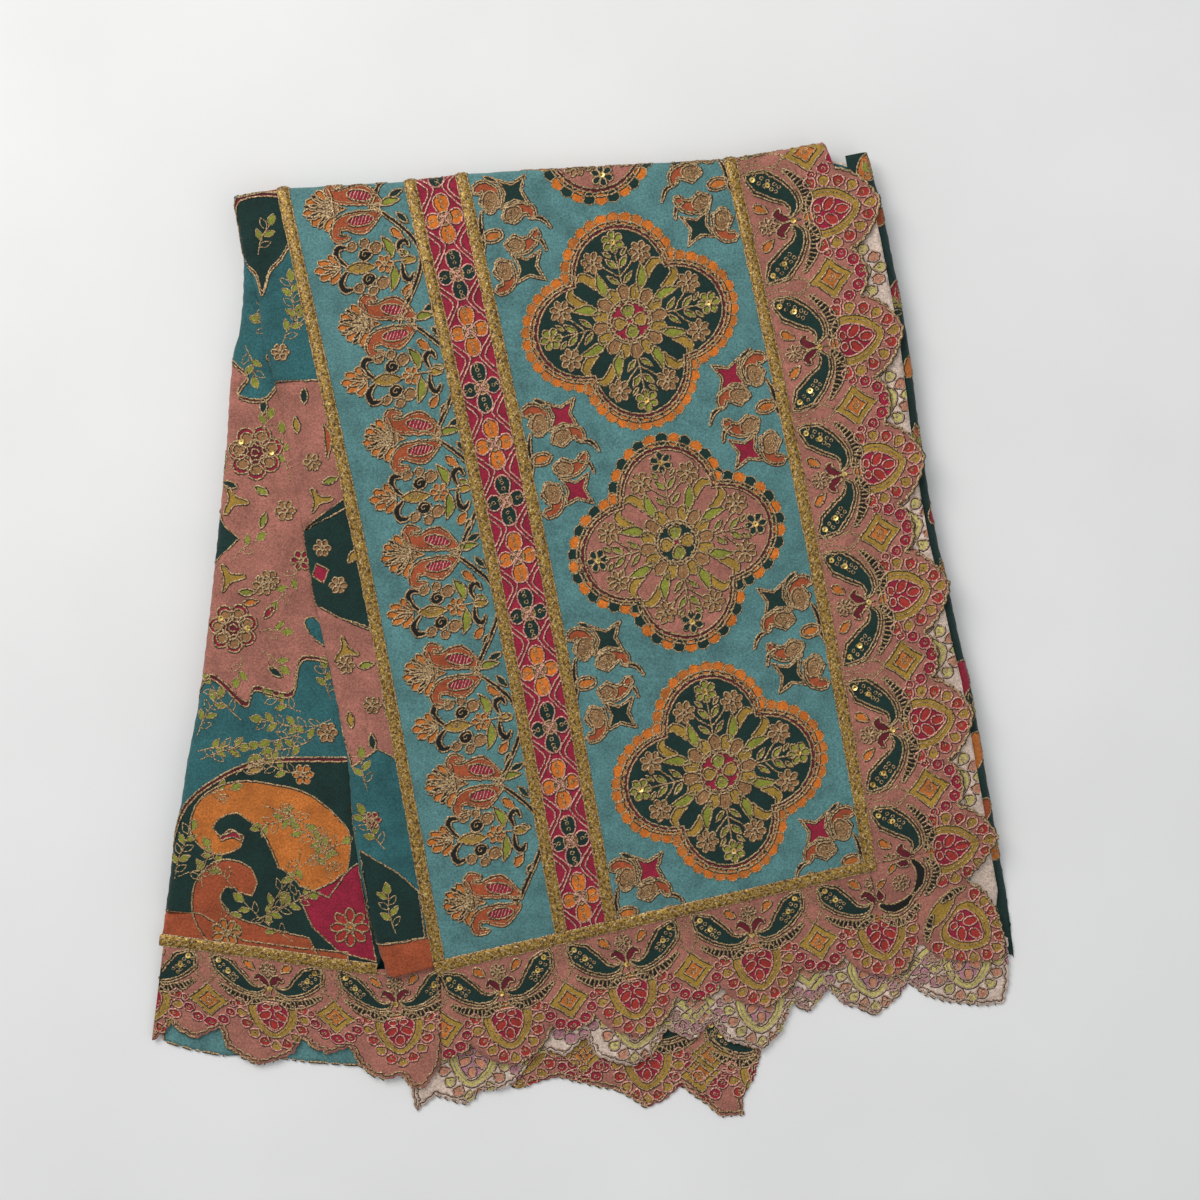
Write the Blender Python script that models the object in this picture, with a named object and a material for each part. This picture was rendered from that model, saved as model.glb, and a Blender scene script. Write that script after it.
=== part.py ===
"""A dupatta, an embroidered long scarf, folded flat with its hems fanned out at one end.

The cloth lies in stretches on a core that stands for the hidden layers. Every stretch is a wall of
cloth laid out in plan and raised to the height of the pile under it. Lengths are in millimetres
until a mesh is made. X runs to the right, Y towards the folded top edge, and Z up from the floor.
"""

import math

import bmesh
import bpy
from mathutils import Vector
from mathutils.geometry import delaunay_2d_cdt

METRES_PER_MM = 0.001

# Moves the plan so that the origin lies under the middle of the whole part
CENTRING = Vector((0.46, 0.66, 0.0))

# Cloth and spacing
WALL = 1.2
LAYER_GAP = 0.7
PITCH = WALL + LAYER_GAP
SEAM_GAP = 0.3
TAPE_WIDTH = 7.0
TAPE_THICKNESS = 0.8
TAPE_GAP = 0.52
LATTICE = 17.0
EDGE_STEP = 12.0
HEM_STEP = 6.5
CORE_STEP = 34.0

# Pile of hidden layers
CORE_HEIGHT = 15.0
CORE_HEM_HEIGHT = 1.6
CORE_SLOPE = 85.0
CORE_TOE = 30.0
CORE_FOLDS = 5
CORE_GROOVE = 1.6
RIPPLE = 0.7

# How far a layer still lifts the next one beyond its own edge
LIFT_MARGIN = 6.0
LIFT_FALL = 22.0

# Folded edges
SIDE_ROLL = 3.0
SIDE_DROP = 6.0
TOP_ROLL = 4.0
TOP_DROP = 8.0
TUCK_ROLL = 1.5
TUCK_RISE = 2.8
TUCK_REACH = 16.0
TUCK_AT_HEM = 5.0
TUCK_AT_TOP = 42.0
REVERSED_SIDE_INSET = 6.0
FLOOR_CLEARANCE = 0.8

# End panel: its hem corner, and the directions left along the hem and up along the bands
CORNER = Vector((164.7, -134.8))
HEM_LEFT = Vector((-0.974, -0.228))
BAND_UP = Vector((-0.197, 0.981))
BAND_BOW = 3.2
BAND_LENGTH = 440.0

# Distances of the seams from the right-hand seam, along the hem
MEDALLION_EDGE = 152.0
CROSS_EDGE = 181.5
BUSH_EDGE = 253.5
BORDER_END = 251.0

# Length of the cloth from the hem seam to the top fold: (distance along the hem, length)
TOP_LENGTHS = [(-78, 397), (-63, 403), (-58, 410), (0, 414), (149, 440), (187, 444), (256, 456),
               (320, 460)]

# The folded corner at the top left, above the middle of the part
TOP_LEFT_HEIGHT = 251.5

# Scalloped border
PERIOD = 74.0
BIG_TIP = 72.0
SMALL_TIP = 58.0
VALLEY = 50.0
VALLEY_PLACE = 23.5
HEM_SHARE = 0.93
SCALLOP_STEP = 5.3
SIDE_STRETCH = [(0, 1.04), (74, 1.0), (220, 1.0), (370, 1.08), (414, 1.08)]

# Corner scallop, in distances left along the hem and up along the bands
CORNER_EDGE = [(-10, -64), (-20, -52), (-30, -62), (-46, -68), (-65, -70), (-68, -50), (-62, -30),
               (-54, -21), (-64, -12)]

# Outlines in plan: (x, y)
PANEL_LEFT_EDGE = [(-199.2, 243), (-197, 231.6), (-194.7, 217), (-189, 203), (-186, 190),
                   (-183.5, 170), (-178.5, 150), (-174.7, 138), (-171.3, 125), (-169.6, 112),
                   (-166.7, 99), (-161.5, 68.6), (-158.2, 47), (-153.5, 18), (-148.5, 0),
                   (-145.6, -17), (-141.6, -36), (-137, -58), (-134.2, -77), (-131.4, -113),
                   (-128.2, -133), (-124, -155), (-118, -181), (-113.5, -195)]
LEFT_FOLD_EDGE = [(-195, 217), (-195.2, 203), (-195.6, 189), (-197.5, 171.8), (-201, 160),
                  (-203, 140), (-204.9, 103), (-207.8, 75), (-210.6, 46), (-213.5, 18),
                  (-216.9, -11), (-220.3, -39), (-223.7, -56), (-227.7, -76), (-230.6, -96),
                  (-234, -113), (-238, -142), (-242, -164.5), (-244.5, -178)]
RIGHT_FOLD_EDGE = [(162.4, 276.3), (170.5, 247.5), (175.3, 226), (180.5, 199), (186.1, 169),
                   (190, 140), (194.1, 108), (198.6, 79), (203.8, 51), (210, 25), (216.3, -5),
                   (222, -28), (226, -51), (231.7, -84), (236.5, -108), (240.8, -128),
                   (245.5, -150), (250.3, -190)]
LEFT_HEM_SEAM = [(-244.5, -178.1), (-183, -186), (-136, -193), (-119, -195.2), (-112.9, -195.2),
                 (-86.6, -190.9)]
LEFT_HEM_EDGE = [(-81.7, -192), (-81.2, -239), (-83, -252), (-91.7, -264.7), (-98.7, -265.2),
                 (-105, -257), (-113, -260), (-123, -257), (-130, -251), (-135, -241),
                 (-147.5, -245.4), (-157, -241), (-162.7, -235.5), (-168, -245), (-178, -249),
                 (-188.4, -251.7), (-199, -246), (-206.9, -241), (-210, -229.6), (-224.3, -236.3),
                 (-235, -231), (-238.5, -226.6), (-243, -233), (-250, -238)]
UNDER_LEFT_EDGE = [(-246, -200), (-244, -238), (-228, -243), (-207, -247), (-188, -246),
                   (-162, -250), (-135, -252), (-112, -252), (-96, -240), (-90, -205), (-150, -195)]
REVERSED_HEM_EDGE = [(-95, -235), (-99.5, -266), (-96.9, -279), (-90.5, -274), (-85.5, -269.6),
                     (-78, -272), (-67.1, -275.3), (-60, -267), (-47, -266), (-37, -259),
                     (-30, -247), (-19, -243), (-10.2, -246), (1.4, -235), (8, -246), (19, -250),
                     (29.4, -252.5), (40, -246), (48.7, -230), (63.4, -237), (75.2, -226),
                     (84, -238), (94, -240), (104.3, -243), (115, -232), (121.4, -216),
                     (132.3, -221), (142.5, -207), (152, -217), (161, -219), (171, -223.2),
                     (182, -214), (189.5, -204), (199, -211), (213, -215.5), (231, -217.5),
                     (244.5, -216.5), (246.8, -205), (246.2, -178)]
LOWER_HEM_EDGE = [(-48, -225), (-44, -262), (-38.2, -266), (-22, -261), (-13.7, -259), (-2.3, -262),
                  (7, -264), (21, -267), (30, -272), (37, -277), (47, -273), (57, -264),
                  (71.8, -274.4), (79.8, -282), (93.5, -281.3), (92, -272), (99, -260.3),
                  (103.2, -244), (98, -226)]
RIGHT_FOLD_INNER = [(150, 272), (165, 190), (176, 90), (205, -60), (225, -160), (232, -185)]
REVERSED_SIDE_INNER = [(238, -170), (205, -163), (160, 10), (135, 262)]
REVERSED_HEM_INNER = [(236, -172), (170, -180), (60, -205), (-60, -228)]
LOWER_HEM_INNER = [(80, -215), (-30, -215)]
LEFT_STRETCH_TOP = [(-150, 232), (-185, 230)]
CORE_EDGE = [(-188, 246), (-100, 252), (-25, 259), (60, 264), (152, 268), (167, 215), (178, 169),
             (186, 108), (196, 50), (209, -5), (219, -51), (228, -101), (236, -142), (239, -168),
             (181, -181), (124, -200), (87, -214), (21, -230), (-47, -236), (-104, -229),
             (-190, -214), (-236, -205), (-236, -178), (-230, -142), (-222, -96), (-215, -56),
             (-208, -11), (-201, 46), (-196, 103), (-192, 150), (-188, 190)]
CORE_HEM_LINE = [(-300, -200), (-190, -214), (-47, -236), (87, -214), (181, -181), (239, -166),
                 (320, -150)]


def mix(low, high, share):
    return low + (high - low) * share


def ease(share):
    share = min(max(share, 0.0), 1.0)
    return share * share * (3.0 - 2.0 * share)


def table_value(rows, place):
    """The second column at a place in the first, straight between rows."""
    if place <= rows[0][0]:
        return rows[0][1]
    for (x0, y0), (x1, y1) in zip(rows, rows[1:]):
        if place <= x1:
            return mix(y0, y1, (place - x0) / (x1 - x0))
    return rows[-1][1]


def panel_point(left, up):
    """The plan position of a point of the end panel, whose bands bow a little to the right."""
    bow = BAND_BOW * math.sin(math.pi * min(max(up / BAND_LENGTH, 0.0), 1.0))
    return CORNER + HEM_LEFT * (left - bow) + BAND_UP * up


def top_length(left):
    return table_value(TOP_LENGTHS, left)


def scallop_depth(along):
    """How far the scalloped border reaches from its seam, at a distance along it."""
    offset = abs((along + PERIOD / 2) % PERIOD - PERIOD / 2)
    if offset < VALLEY_PLACE:
        share = offset / VALLEY_PLACE
        shape = 0.7 * math.sqrt(1.0 - share * share) + 0.3 * (1.0 - share)
        return mix(VALLEY, BIG_TIP, shape)
    half_width = PERIOD / 2 - VALLEY_PLACE
    share = (PERIOD / 2 - offset) / half_width
    return mix(VALLEY, SMALL_TIP, math.sqrt(max(1.0 - share * share, 0.0)))


def spaced(points, step=EDGE_STEP):
    """A line through points, with no stretch longer than a step."""
    line = []
    for start, end in zip(points, points[1:]):
        start, end = Vector(start), Vector(end)
        count = max(1, math.ceil((end - start).length / step))
        line += [start.lerp(end, i / count) for i in range(count)]
    return line + [Vector(points[-1])]


def shifted(points, x, y):
    return [Vector((p[0] + x, p[1] + y)) for p in points]


def inside(polygon, x, y):
    found = False
    for a, b in zip(polygon, polygon[1:] + polygon[:1]):
        if (a[1] > y) != (b[1] > y) and x < (b[0] - a[0]) * (y - a[1]) / (b[1] - a[1]) + a[0]:
            found = not found
    return found


def line_distance(points, x, y):
    best = 1.0e9
    for a, b in zip(points, points[1:]):
        dx, dy = b[0] - a[0], b[1] - a[1]
        share = ((x - a[0]) * dx + (y - a[1]) * dy) / (dx * dx + dy * dy)
        share = min(max(share, 0.0), 1.0)
        best = min(best, math.hypot(x - a[0] - share * dx, y - a[1] - share * dy))
    return best


def outside_distance(polygon, x, y):
    if inside(polygon, x, y):
        return 0.0
    return line_distance(polygon + polygon[:1], x, y)


def pile_height(x, y):
    """The top of the hidden layers, which thins towards the fanned hems."""
    distance = line_distance(CORE_HEM_LINE, x, y)
    if y < table_value(CORE_HEM_LINE, x):
        return CORE_HEM_HEIGHT * ease(1.0 - distance / CORE_TOE)
    height = mix(CORE_HEM_HEIGHT, CORE_HEIGHT, ease(distance / CORE_SLOPE))
    ripple = RIPPLE * math.sin(x / 41.0 + 0.6) * math.sin(y / 53.0 + 1.1)
    return height + ripple * ease(distance / CORE_SLOPE)


# Stretches of cloth that lift what lies over them, by layer from the floor up
LAYER_OUTLINES = {1: [], 2: [], 3: []}


def underside(x, y, layer):
    """The height of a layer's lower face: the pile, plus each layer that lies under it here."""
    height = pile_height(x, y)
    if inside(CORE_EDGE, x, y) or line_distance(CORE_EDGE + CORE_EDGE[:1], x, y) < LIFT_FALL:
        height += LAYER_GAP * ease(1.0 - outside_distance(CORE_EDGE, x, y) / LIFT_FALL)
    for lower in range(1, layer):
        cover = 0.0
        for outline in LAYER_OUTLINES[lower]:
            distance = outside_distance(outline, x, y)
            cover = max(cover, ease(1.0 - (distance - LIFT_MARGIN) / LIFT_FALL))
        height += PITCH * cover
    return height


def panel_height(x, y):
    """The end panel lies over all, and rises to its soft fold over the left stretch."""
    rise = TUCK_RISE * ease(1.0 - line_distance(PANEL_LEFT_EDGE, x, y) / TUCK_REACH)
    return underside(x, y, 4) + rise


def layer_height(layer):
    return lambda x, y: underside(x, y, layer)


def lattice_points(outline):
    """Points of one shared lattice that lie well inside an outline."""
    xs = [p[0] for p in outline]
    ys = [p[1] for p in outline]
    closed = outline + outline[:1]
    points = []
    for row in range(math.floor(min(ys) / LATTICE), math.ceil(max(ys) / LATTICE) + 1):
        for column in range(math.floor(min(xs) / LATTICE), math.ceil(max(xs) / LATTICE) + 1):
            x = (column + 0.5 * (row % 2)) * LATTICE
            y = row * LATTICE
            if inside(outline, x, y) and line_distance(closed, x, y) > 0.45 * LATTICE:
                points.append(Vector((x, y)))
    return points


def flat_faces(outline):
    """Triangles over an outline and the lattice points inside it, all facing up."""
    count = len(outline)
    points = [Vector(p) for p in outline] + lattice_points(outline)
    rim = [(i, (i + 1) % count) for i in range(count)]
    places, _, faces, *_ = delaunay_2d_cdt(points, rim, [], 1, 1.0e-4)
    turned = []
    for face in faces:
        a, b, c = (places[i] for i in face)
        area = (b.x - a.x) * (c.y - a.y) - (c.x - a.x) * (b.y - a.y)
        turned.append(list(face) if area > 0 else list(reversed(face)))
    return places, turned


def outward(chain, place):
    """The level direction that leaves a folded side edge, square to it."""
    before = chain[max(place - 1, 0)]
    after = chain[min(place + 1, len(chain) - 1)]
    along = Vector((after.co.x - before.co.x, after.co.y - before.co.y)).normalized()
    return Vector((along.y, -along.x))


def roll_edge(bm, chain, over_top, radius, drop, turn):
    """Carries a wall on round a folded edge and down, with the panel on the left of the chain."""
    if over_top:
        directions = [BAND_UP.normalized()] * len(chain)
    else:
        directions = [outward(chain, i) for i in range(len(chain))]
    rows = [(math.radians(turn) * i / 3, 0.0) for i in (1, 2, 3)]
    if drop:
        rows.append((math.radians(turn), drop))
    previous = chain
    for angle, extra in rows:
        row = []
        for vertex, direction in zip(chain, directions):
            reach = radius * math.sin(angle)
            height = vertex.co.z - radius * (1.0 - math.cos(angle)) - extra
            place = (vertex.co.x + direction.x * reach, vertex.co.y + direction.y * reach)
            row.append(bm.verts.new((*place, max(height, FLOOR_CLEARANCE))))
        for i in range(len(row) - 1):
            bm.faces.new([row[i], row[i + 1], previous[i + 1], previous[i]])
        previous = row


def principled(name, color, roughness, metallic):
    material = bpy.data.materials.new(name)
    material.use_nodes = True
    shader = material.node_tree.nodes["Principled BSDF"]
    shader.inputs["Base Color"].default_value = (*color, 1.0)
    shader.inputs["Roughness"].default_value = roughness
    shader.inputs["Metallic"].default_value = metallic
    return material


def finish_object(name, bm, material, thickness=None):
    """Turns millimetres into metres and, for a sheet, gives it its wall."""
    bmesh.ops.triangulate(bm, faces=bm.faces[:])
    bmesh.ops.translate(bm, vec=CENTRING, verts=bm.verts[:])
    bmesh.ops.scale(bm, vec=(METRES_PER_MM,) * 3, verts=bm.verts[:])
    mesh = bpy.data.meshes.new(name)
    bm.to_mesh(mesh)
    bm.free()
    mesh.materials.append(material)
    body = bpy.data.objects.new(name, mesh)
    bpy.context.scene.collection.objects.link(body)
    if thickness:
        wall = body.modifiers.new("wall", "SOLIDIFY")
        wall.thickness = thickness * METRES_PER_MM
        wall.offset = 1.0
        wall.use_quality_normals = True
    mesh.shade_smooth()
    return body


def sheet(name, outline, height, material, folds=(), thickness=WALL):
    """A wall of cloth over an outline, raised by a height function, with folded edges carried down.

    A fold is (first place, last place, over the top edge or not, radius, drop, turn), with places
    in the outline, which runs anticlockwise.
    """
    places, faces = flat_faces(outline)
    bm = bmesh.new()
    verts = [bm.verts.new((p.x, p.y, height(p.x, p.y))) for p in places]
    for face in faces:
        bm.faces.new([verts[i] for i in face])
    for first, last, over_top, radius, drop, turn in folds:
        roll_edge(bm, verts[first:last + 1], over_top, radius, drop, turn)
    return finish_object(name, bm, material, thickness)


def top_run(left_from, left_to):
    """Points of the end panel's top fold, from one distance along the hem to another."""
    inset = TOP_ROLL + WALL
    count = max(1, math.ceil(abs(left_to - left_from) / EDGE_STEP))
    run = []
    for i in range(count + 1):
        left = mix(left_from, left_to, i / count)
        run.append(panel_point(left, top_length(left) - inset))
    return run


def band_run(left, up_from, up_to, step=EDGE_STEP * 1.5):
    """Points up or down a seam between two bands."""
    count = max(1, math.ceil(abs(up_to - up_from) / step))
    return [panel_point(left, mix(up_from, up_to, i / count)) for i in range(count + 1)]


def band(name, left_from, left_to, material):
    """One lengthwise band of the end panel, from the hem seam over the top fold."""
    right = left_from + SEAM_GAP / 2
    left = left_to - SEAM_GAP / 2
    foot = SEAM_GAP / 2
    inset = TOP_ROLL + WALL
    rising = band_run(right, foot, top_length(right) - inset)
    over = top_run(right, left)
    falling = band_run(left, top_length(left) - inset, foot)
    hem_count = max(1, math.ceil((left - right) / EDGE_STEP))
    hem = [panel_point(mix(left, right, i / hem_count), foot) for i in range(1, hem_count)]
    outline = rising + over[1:] + falling[1:] + hem
    first = len(rising) - 1
    fold = (first, first + len(over) - 1, True, TOP_ROLL, TOP_DROP, 90)
    return sheet(name, outline, panel_height, material, [fold])


def build_strip(name, material):
    """The strip of the long middle cloth that stays visible left of the bush band."""
    right = BUSH_EDGE + SEAM_GAP / 2
    inset = TOP_ROLL + WALL
    rising = band_run(right, SEAM_GAP / 2, top_length(right) - inset)
    top_left = Vector((PANEL_LEFT_EDGE[0][0] + TUCK_ROLL + WALL, TOP_LEFT_HEIGHT - inset))
    over = spaced([rising[-1], top_left], EDGE_STEP)
    tucked = spaced(shifted(PANEL_LEFT_EDGE, TUCK_ROLL + WALL, 0))
    outline = rising + over[1:] + tucked
    top_first = len(rising) - 1
    top_last = top_first + len(over) - 1
    folds = [(top_first, top_last, True, TOP_ROLL, TOP_DROP, 90),
             (top_last + 1, top_last + len(tucked), False, TUCK_ROLL, 0.0, 110)]
    return sheet(name, outline, panel_height, material, folds)


def side_depth(up):
    return scallop_depth(up) * table_value(SIDE_STRETCH, up)


def build_right_border(name, material):
    """The scalloped border up the right-hand side, over the top fold."""
    inset = TOP_ROLL + WALL
    right = -SEAM_GAP / 2
    reach = side_depth(top_length(-BIG_TIP))
    over = top_run(-reach + 4.0, right)
    seam = band_run(right, top_length(right) - inset, SEAM_GAP / 2)
    rising = []
    last = top_length(-reach) - inset - 4.0
    count = math.ceil(last / SCALLOP_STEP)
    for i in range(count + 1):
        up = mix(SEAM_GAP / 2, last, i / count)
        rising.append(panel_point(-side_depth(up), up))
    foot_count = 7
    lefts = [mix(right, -side_depth(0.0), i / foot_count) for i in range(1, foot_count)]
    foot = [panel_point(left, SEAM_GAP / 2) for left in lefts]
    outline = rising + over + seam[1:] + foot
    first = len(rising)
    fold = (first, first + len(over) - 1, True, TOP_ROLL, TOP_DROP, 90)
    return sheet(name, outline, panel_height, material, [fold])


def build_bottom_border(name, material):
    """The scalloped border along the hem of the end panel."""
    slant = -BAND_UP.x / -HEM_LEFT.x
    foot = BORDER_END + slant * SMALL_TIP * HEM_SHARE
    count = math.ceil(foot / SCALLOP_STEP)
    edge = []
    for i in range(count + 1):
        left = mix(foot, SEAM_GAP / 2, i / count)
        edge.append(panel_point(left, -scallop_depth(left) * HEM_SHARE))
    rise_step = 7.5
    rise = [panel_point(SEAM_GAP / 2, -rise_step * i) for i in range(8, 0, -1)]
    seam_count = 30
    lefts = [mix(SEAM_GAP / 2, BORDER_END, i / seam_count) for i in range(seam_count + 1)]
    seam = [panel_point(left, -SEAM_GAP / 2) for left in lefts]
    fall_step = 9.0
    fall = [panel_point(BORDER_END + slant * fall_step * i, -fall_step * i) for i in range(1, 6)]
    return sheet(name, edge + rise + seam + fall, panel_height, material)


def build_corner_border(name, material):
    """The quarter of the border that turns the corner, with a scallop on the diagonal."""
    gap = SEAM_GAP / 2
    edge = [panel_point(-gap, -BIG_TIP * HEM_SHARE)]
    edge += [panel_point(left, up) for left, up in CORNER_EDGE]
    edge.append(panel_point(-side_depth(0.0), -gap))
    across = [panel_point(-side_depth(0.0) * (1 - i / 8), -gap) for i in range(1, 8)]
    down = [panel_point(-gap, -gap - 8.0 * i) for i in range(8)]
    return sheet(name, spaced(edge, 6.0) + across + down, panel_height, material)


def tape(name, rows, height, material, over_top=False):
    """A flat gold tape through rows of three plan points, lying on the cloth."""
    bm = bmesh.new()
    verts = []
    for row in rows:
        verts.append([bm.verts.new((p.x, p.y, height(p.x, p.y) + WALL + TAPE_GAP)) for p in row])
    for low, high in zip(verts, verts[1:]):
        for i in (0, 1):
            bm.faces.new([low[i], low[i + 1], high[i + 1], high[i]])
    if over_top:
        roll_edge(bm, verts[-1][::-1], True, TOP_ROLL + WALL + TAPE_GAP, TOP_DROP - 1.0, 90)
    return finish_object(name, bm, material, TAPE_THICKNESS)


def rows_across(line):
    """Rows of three points square to a line: left of it, on it and right of it."""
    rows = []
    for i, point in enumerate(line):
        along = (line[min(i + 1, len(line) - 1)] - line[max(i - 1, 0)]).normalized()
        across = Vector((along.y, -along.x)) * TAPE_WIDTH / 2
        rows.append([point - across, point, point + across])
    return rows


def build_tapes(material):
    places = [("tape_strip", BUSH_EDGE), ("tape_bush", CROSS_EDGE), ("tape_cross", MEDALLION_EDGE)]
    places.append(("tape_side", 0.0))
    foot = TAPE_WIDTH / 2 + SEAM_GAP
    count = 30
    for name, middle in places:
        lefts = [middle + TAPE_WIDTH / 2, middle, middle - TAPE_WIDTH / 2]
        rows = []
        for i in range(count + 1):
            share = i / count
            ends = [top_length(left) - TOP_ROLL - WALL for left in lefts]
            rows.append([panel_point(left, mix(foot, end, share)) for left, end in zip(lefts, ends)])
        tape(name, rows, panel_height, material, over_top=True)
    hem_count = 24
    lefts = [mix(BUSH_EDGE + 3.0, -TAPE_WIDTH / 2, i / hem_count) for i in range(hem_count + 1)]
    hem = [panel_point(left, 0.0) for left in lefts]
    tape("tape_hem", rows_across(hem), panel_height, material)
    left_line = spaced(LEFT_HEM_SEAM[:-2], LATTICE)
    tape("tape_left_hem", rows_across(left_line), layer_height(3), material)


def build_core(name, material):
    """The hidden layers as one solid: flat below, with rounded layers round its side."""
    ring = spaced(CORE_EDGE + CORE_EDGE[:1], CORE_STEP)[:-1]
    count = len(ring)
    normals = []
    for i in range(count):
        along = (ring[(i + 1) % count] - ring[i - 1]).normalized()
        normals.append(Vector((-along.y, along.x)))
    profile = [(0.0, 1.0), (0.3, 0.1), (0.7, 0.1)]
    sections = []
    for fold in range(CORE_FOLDS):
        for share, groove in profile:
            sections.append(((fold + share) / CORE_FOLDS, groove * CORE_GROOVE))
    sections.append((1.0, 1.3 * CORE_GROOVE))
    bm = bmesh.new()
    rings = []
    for level, groove in sections:
        row = []
        for point, normal in zip(ring, normals):
            place = point - normal * groove
            row.append(bm.verts.new((place.x, place.y, pile_height(point.x, point.y) * level)))
        rings.append(row)
    for low, high in zip(rings, rings[1:]):
        for i in range(count):
            j = (i + 1) % count
            bm.faces.new([low[j], low[i], high[i], high[j]])
    bm.faces.new(rings[0])
    places, faces = flat_faces([Vector((v.co.x, v.co.y)) for v in rings[-1]])
    top = rings[-1] + [bm.verts.new((p.x, p.y, pile_height(p.x, p.y))) for p in places[count:]]
    for face in faces:
        bm.faces.new([top[i] for i in face])
    bmesh.ops.recalc_face_normals(bm, faces=bm.faces[:])
    return finish_object(name, bm, material)


def left_stretch_outline():
    """The left stretch, from its own fold to the tuck that runs under the end panel."""
    inset = SIDE_ROLL + WALL
    fold = spaced(shifted(LEFT_FOLD_EDGE, inset, 0))
    seam = spaced([(x, y + SEAM_GAP) for x, y in LEFT_HEM_SEAM[:4]], EDGE_STEP)
    seam[0] = Vector((fold[-1].x + 2.0, fold[-1].y + 0.1))
    tucked = []
    rows = PANEL_LEFT_EDGE[4:-1]
    for x, y in reversed(rows):
        share = (y - rows[-1][1]) / (rows[0][1] - rows[-1][1])
        tucked.append((x + mix(TUCK_AT_HEM, TUCK_AT_TOP, share), y))
    return fold, fold + seam + spaced(tucked + LEFT_STRETCH_TOP)


def build():
    for leftover in list(bpy.data.objects):
        bpy.data.objects.remove(leftover)

    teal = principled("teal cloth", (0.10, 0.26, 0.29), 0.85, 0.0)
    green = principled("dark green cloth", (0.01, 0.04, 0.03), 0.85, 0.0)
    rose = principled("dusty pink cloth", (0.50, 0.22, 0.19), 0.85, 0.0)
    crimson = principled("crimson cloth", (0.38, 0.03, 0.07), 0.85, 0.0)
    pale = principled("pale wrong side", (0.68, 0.55, 0.48), 0.9, 0.0)
    gold = principled("zari tape", (0.45, 0.30, 0.06), 0.45, 0.6)
    inner = principled("hidden layers", (0.16, 0.20, 0.18), 0.9, 0.0)

    fold_inset = SIDE_ROLL + WALL
    right_fold = spaced(shifted(RIGHT_FOLD_EDGE, -fold_inset, 0)[::-1])
    right_outline = right_fold + spaced(RIGHT_FOLD_INNER)
    left_fold, left_outline = left_stretch_outline()
    left_seam = [(x, y - SEAM_GAP) for x, y in LEFT_HEM_SEAM]
    left_border = spaced(left_seam[::-1]) + spaced(LEFT_HEM_EDGE[::-1], HEM_STEP)
    side_reversed = shifted(RIGHT_FOLD_EDGE[1:-1], -REVERSED_SIDE_INSET, 0)
    side_reversed = spaced(side_reversed) + spaced(REVERSED_SIDE_INNER)
    hem_reversed = spaced(REVERSED_HEM_EDGE, HEM_STEP) + spaced(REVERSED_HEM_INNER)
    lower_hem = spaced(LOWER_HEM_EDGE, HEM_STEP) + spaced(LOWER_HEM_INNER)
    under_left = spaced(UNDER_LEFT_EDGE)

    LAYER_OUTLINES[1] = [right_outline, lower_hem, under_left]
    LAYER_OUTLINES[2] = [side_reversed, hem_reversed]
    LAYER_OUTLINES[3] = [left_outline, left_border]

    build_core("folded_core", inner)
    sheet("right_fold", right_outline, layer_height(1), green,
          [(0, len(right_fold) - 1, False, SIDE_ROLL, SIDE_DROP, 90)])
    sheet("lower_hem", lower_hem, layer_height(1), rose)
    sheet("under_left", under_left, layer_height(1), teal)
    sheet("reversed_hem_side", side_reversed, layer_height(2), pale)
    sheet("reversed_hem_front", hem_reversed, layer_height(2), pale)
    sheet("left_panel", left_outline, layer_height(3), teal,
          [(0, len(left_fold) - 1, False, SIDE_ROLL, SIDE_DROP, 90)])
    sheet("left_border", left_border, layer_height(3), rose)
    build_strip("panel_strip", green)
    band("bush_band", CROSS_EDGE, BUSH_EDGE, teal)
    band("cross_band", MEDALLION_EDGE, CROSS_EDGE, crimson)
    band("medallion_band", 0.0, MEDALLION_EDGE, teal)
    build_right_border("side_border", rose)
    build_bottom_border("hem_border", rose)
    build_corner_border("corner_border", rose)
    build_tapes(gold)


build()
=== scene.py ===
"""The looks of a folded dupatta: printed cloth, gold thread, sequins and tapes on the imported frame.

Every stretch of cloth is a flat pattern in millimetres, with its printed patches and its thread
lines drawn in the same flat sizes. The pattern is then laid on the height of its solid, bent round
the folded edges and given a thin shell. End panel patterns use (left, up): distance left along the
hem seam, and up along the bands. The others use plan (x, y), X right and Y towards the top fold.
"""

import math
import random

import bpy
import numpy as np
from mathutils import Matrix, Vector, noise
from mathutils.bvhtree import BVHTree
from mathutils.geometry import delaunay_2d_cdt

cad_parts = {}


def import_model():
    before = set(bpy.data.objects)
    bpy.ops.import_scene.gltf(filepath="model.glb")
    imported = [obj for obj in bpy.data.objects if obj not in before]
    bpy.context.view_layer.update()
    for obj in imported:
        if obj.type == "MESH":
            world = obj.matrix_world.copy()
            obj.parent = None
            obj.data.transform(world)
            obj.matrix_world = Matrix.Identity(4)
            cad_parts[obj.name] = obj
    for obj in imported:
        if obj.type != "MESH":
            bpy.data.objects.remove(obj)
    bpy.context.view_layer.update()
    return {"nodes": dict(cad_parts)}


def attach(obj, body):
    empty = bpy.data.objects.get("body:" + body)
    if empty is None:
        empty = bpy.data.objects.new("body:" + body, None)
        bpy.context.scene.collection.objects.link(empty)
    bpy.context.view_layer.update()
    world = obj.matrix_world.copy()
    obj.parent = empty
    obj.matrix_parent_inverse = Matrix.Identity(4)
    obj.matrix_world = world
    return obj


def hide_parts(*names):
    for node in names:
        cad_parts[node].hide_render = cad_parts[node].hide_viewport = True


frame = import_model()

# Plan and units, as in the solids
METRES_PER_MM = 0.001
CENTRING = Vector((0.46, 0.66, 0.0))
WALL = 1.2
SHELL = 0.7

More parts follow.
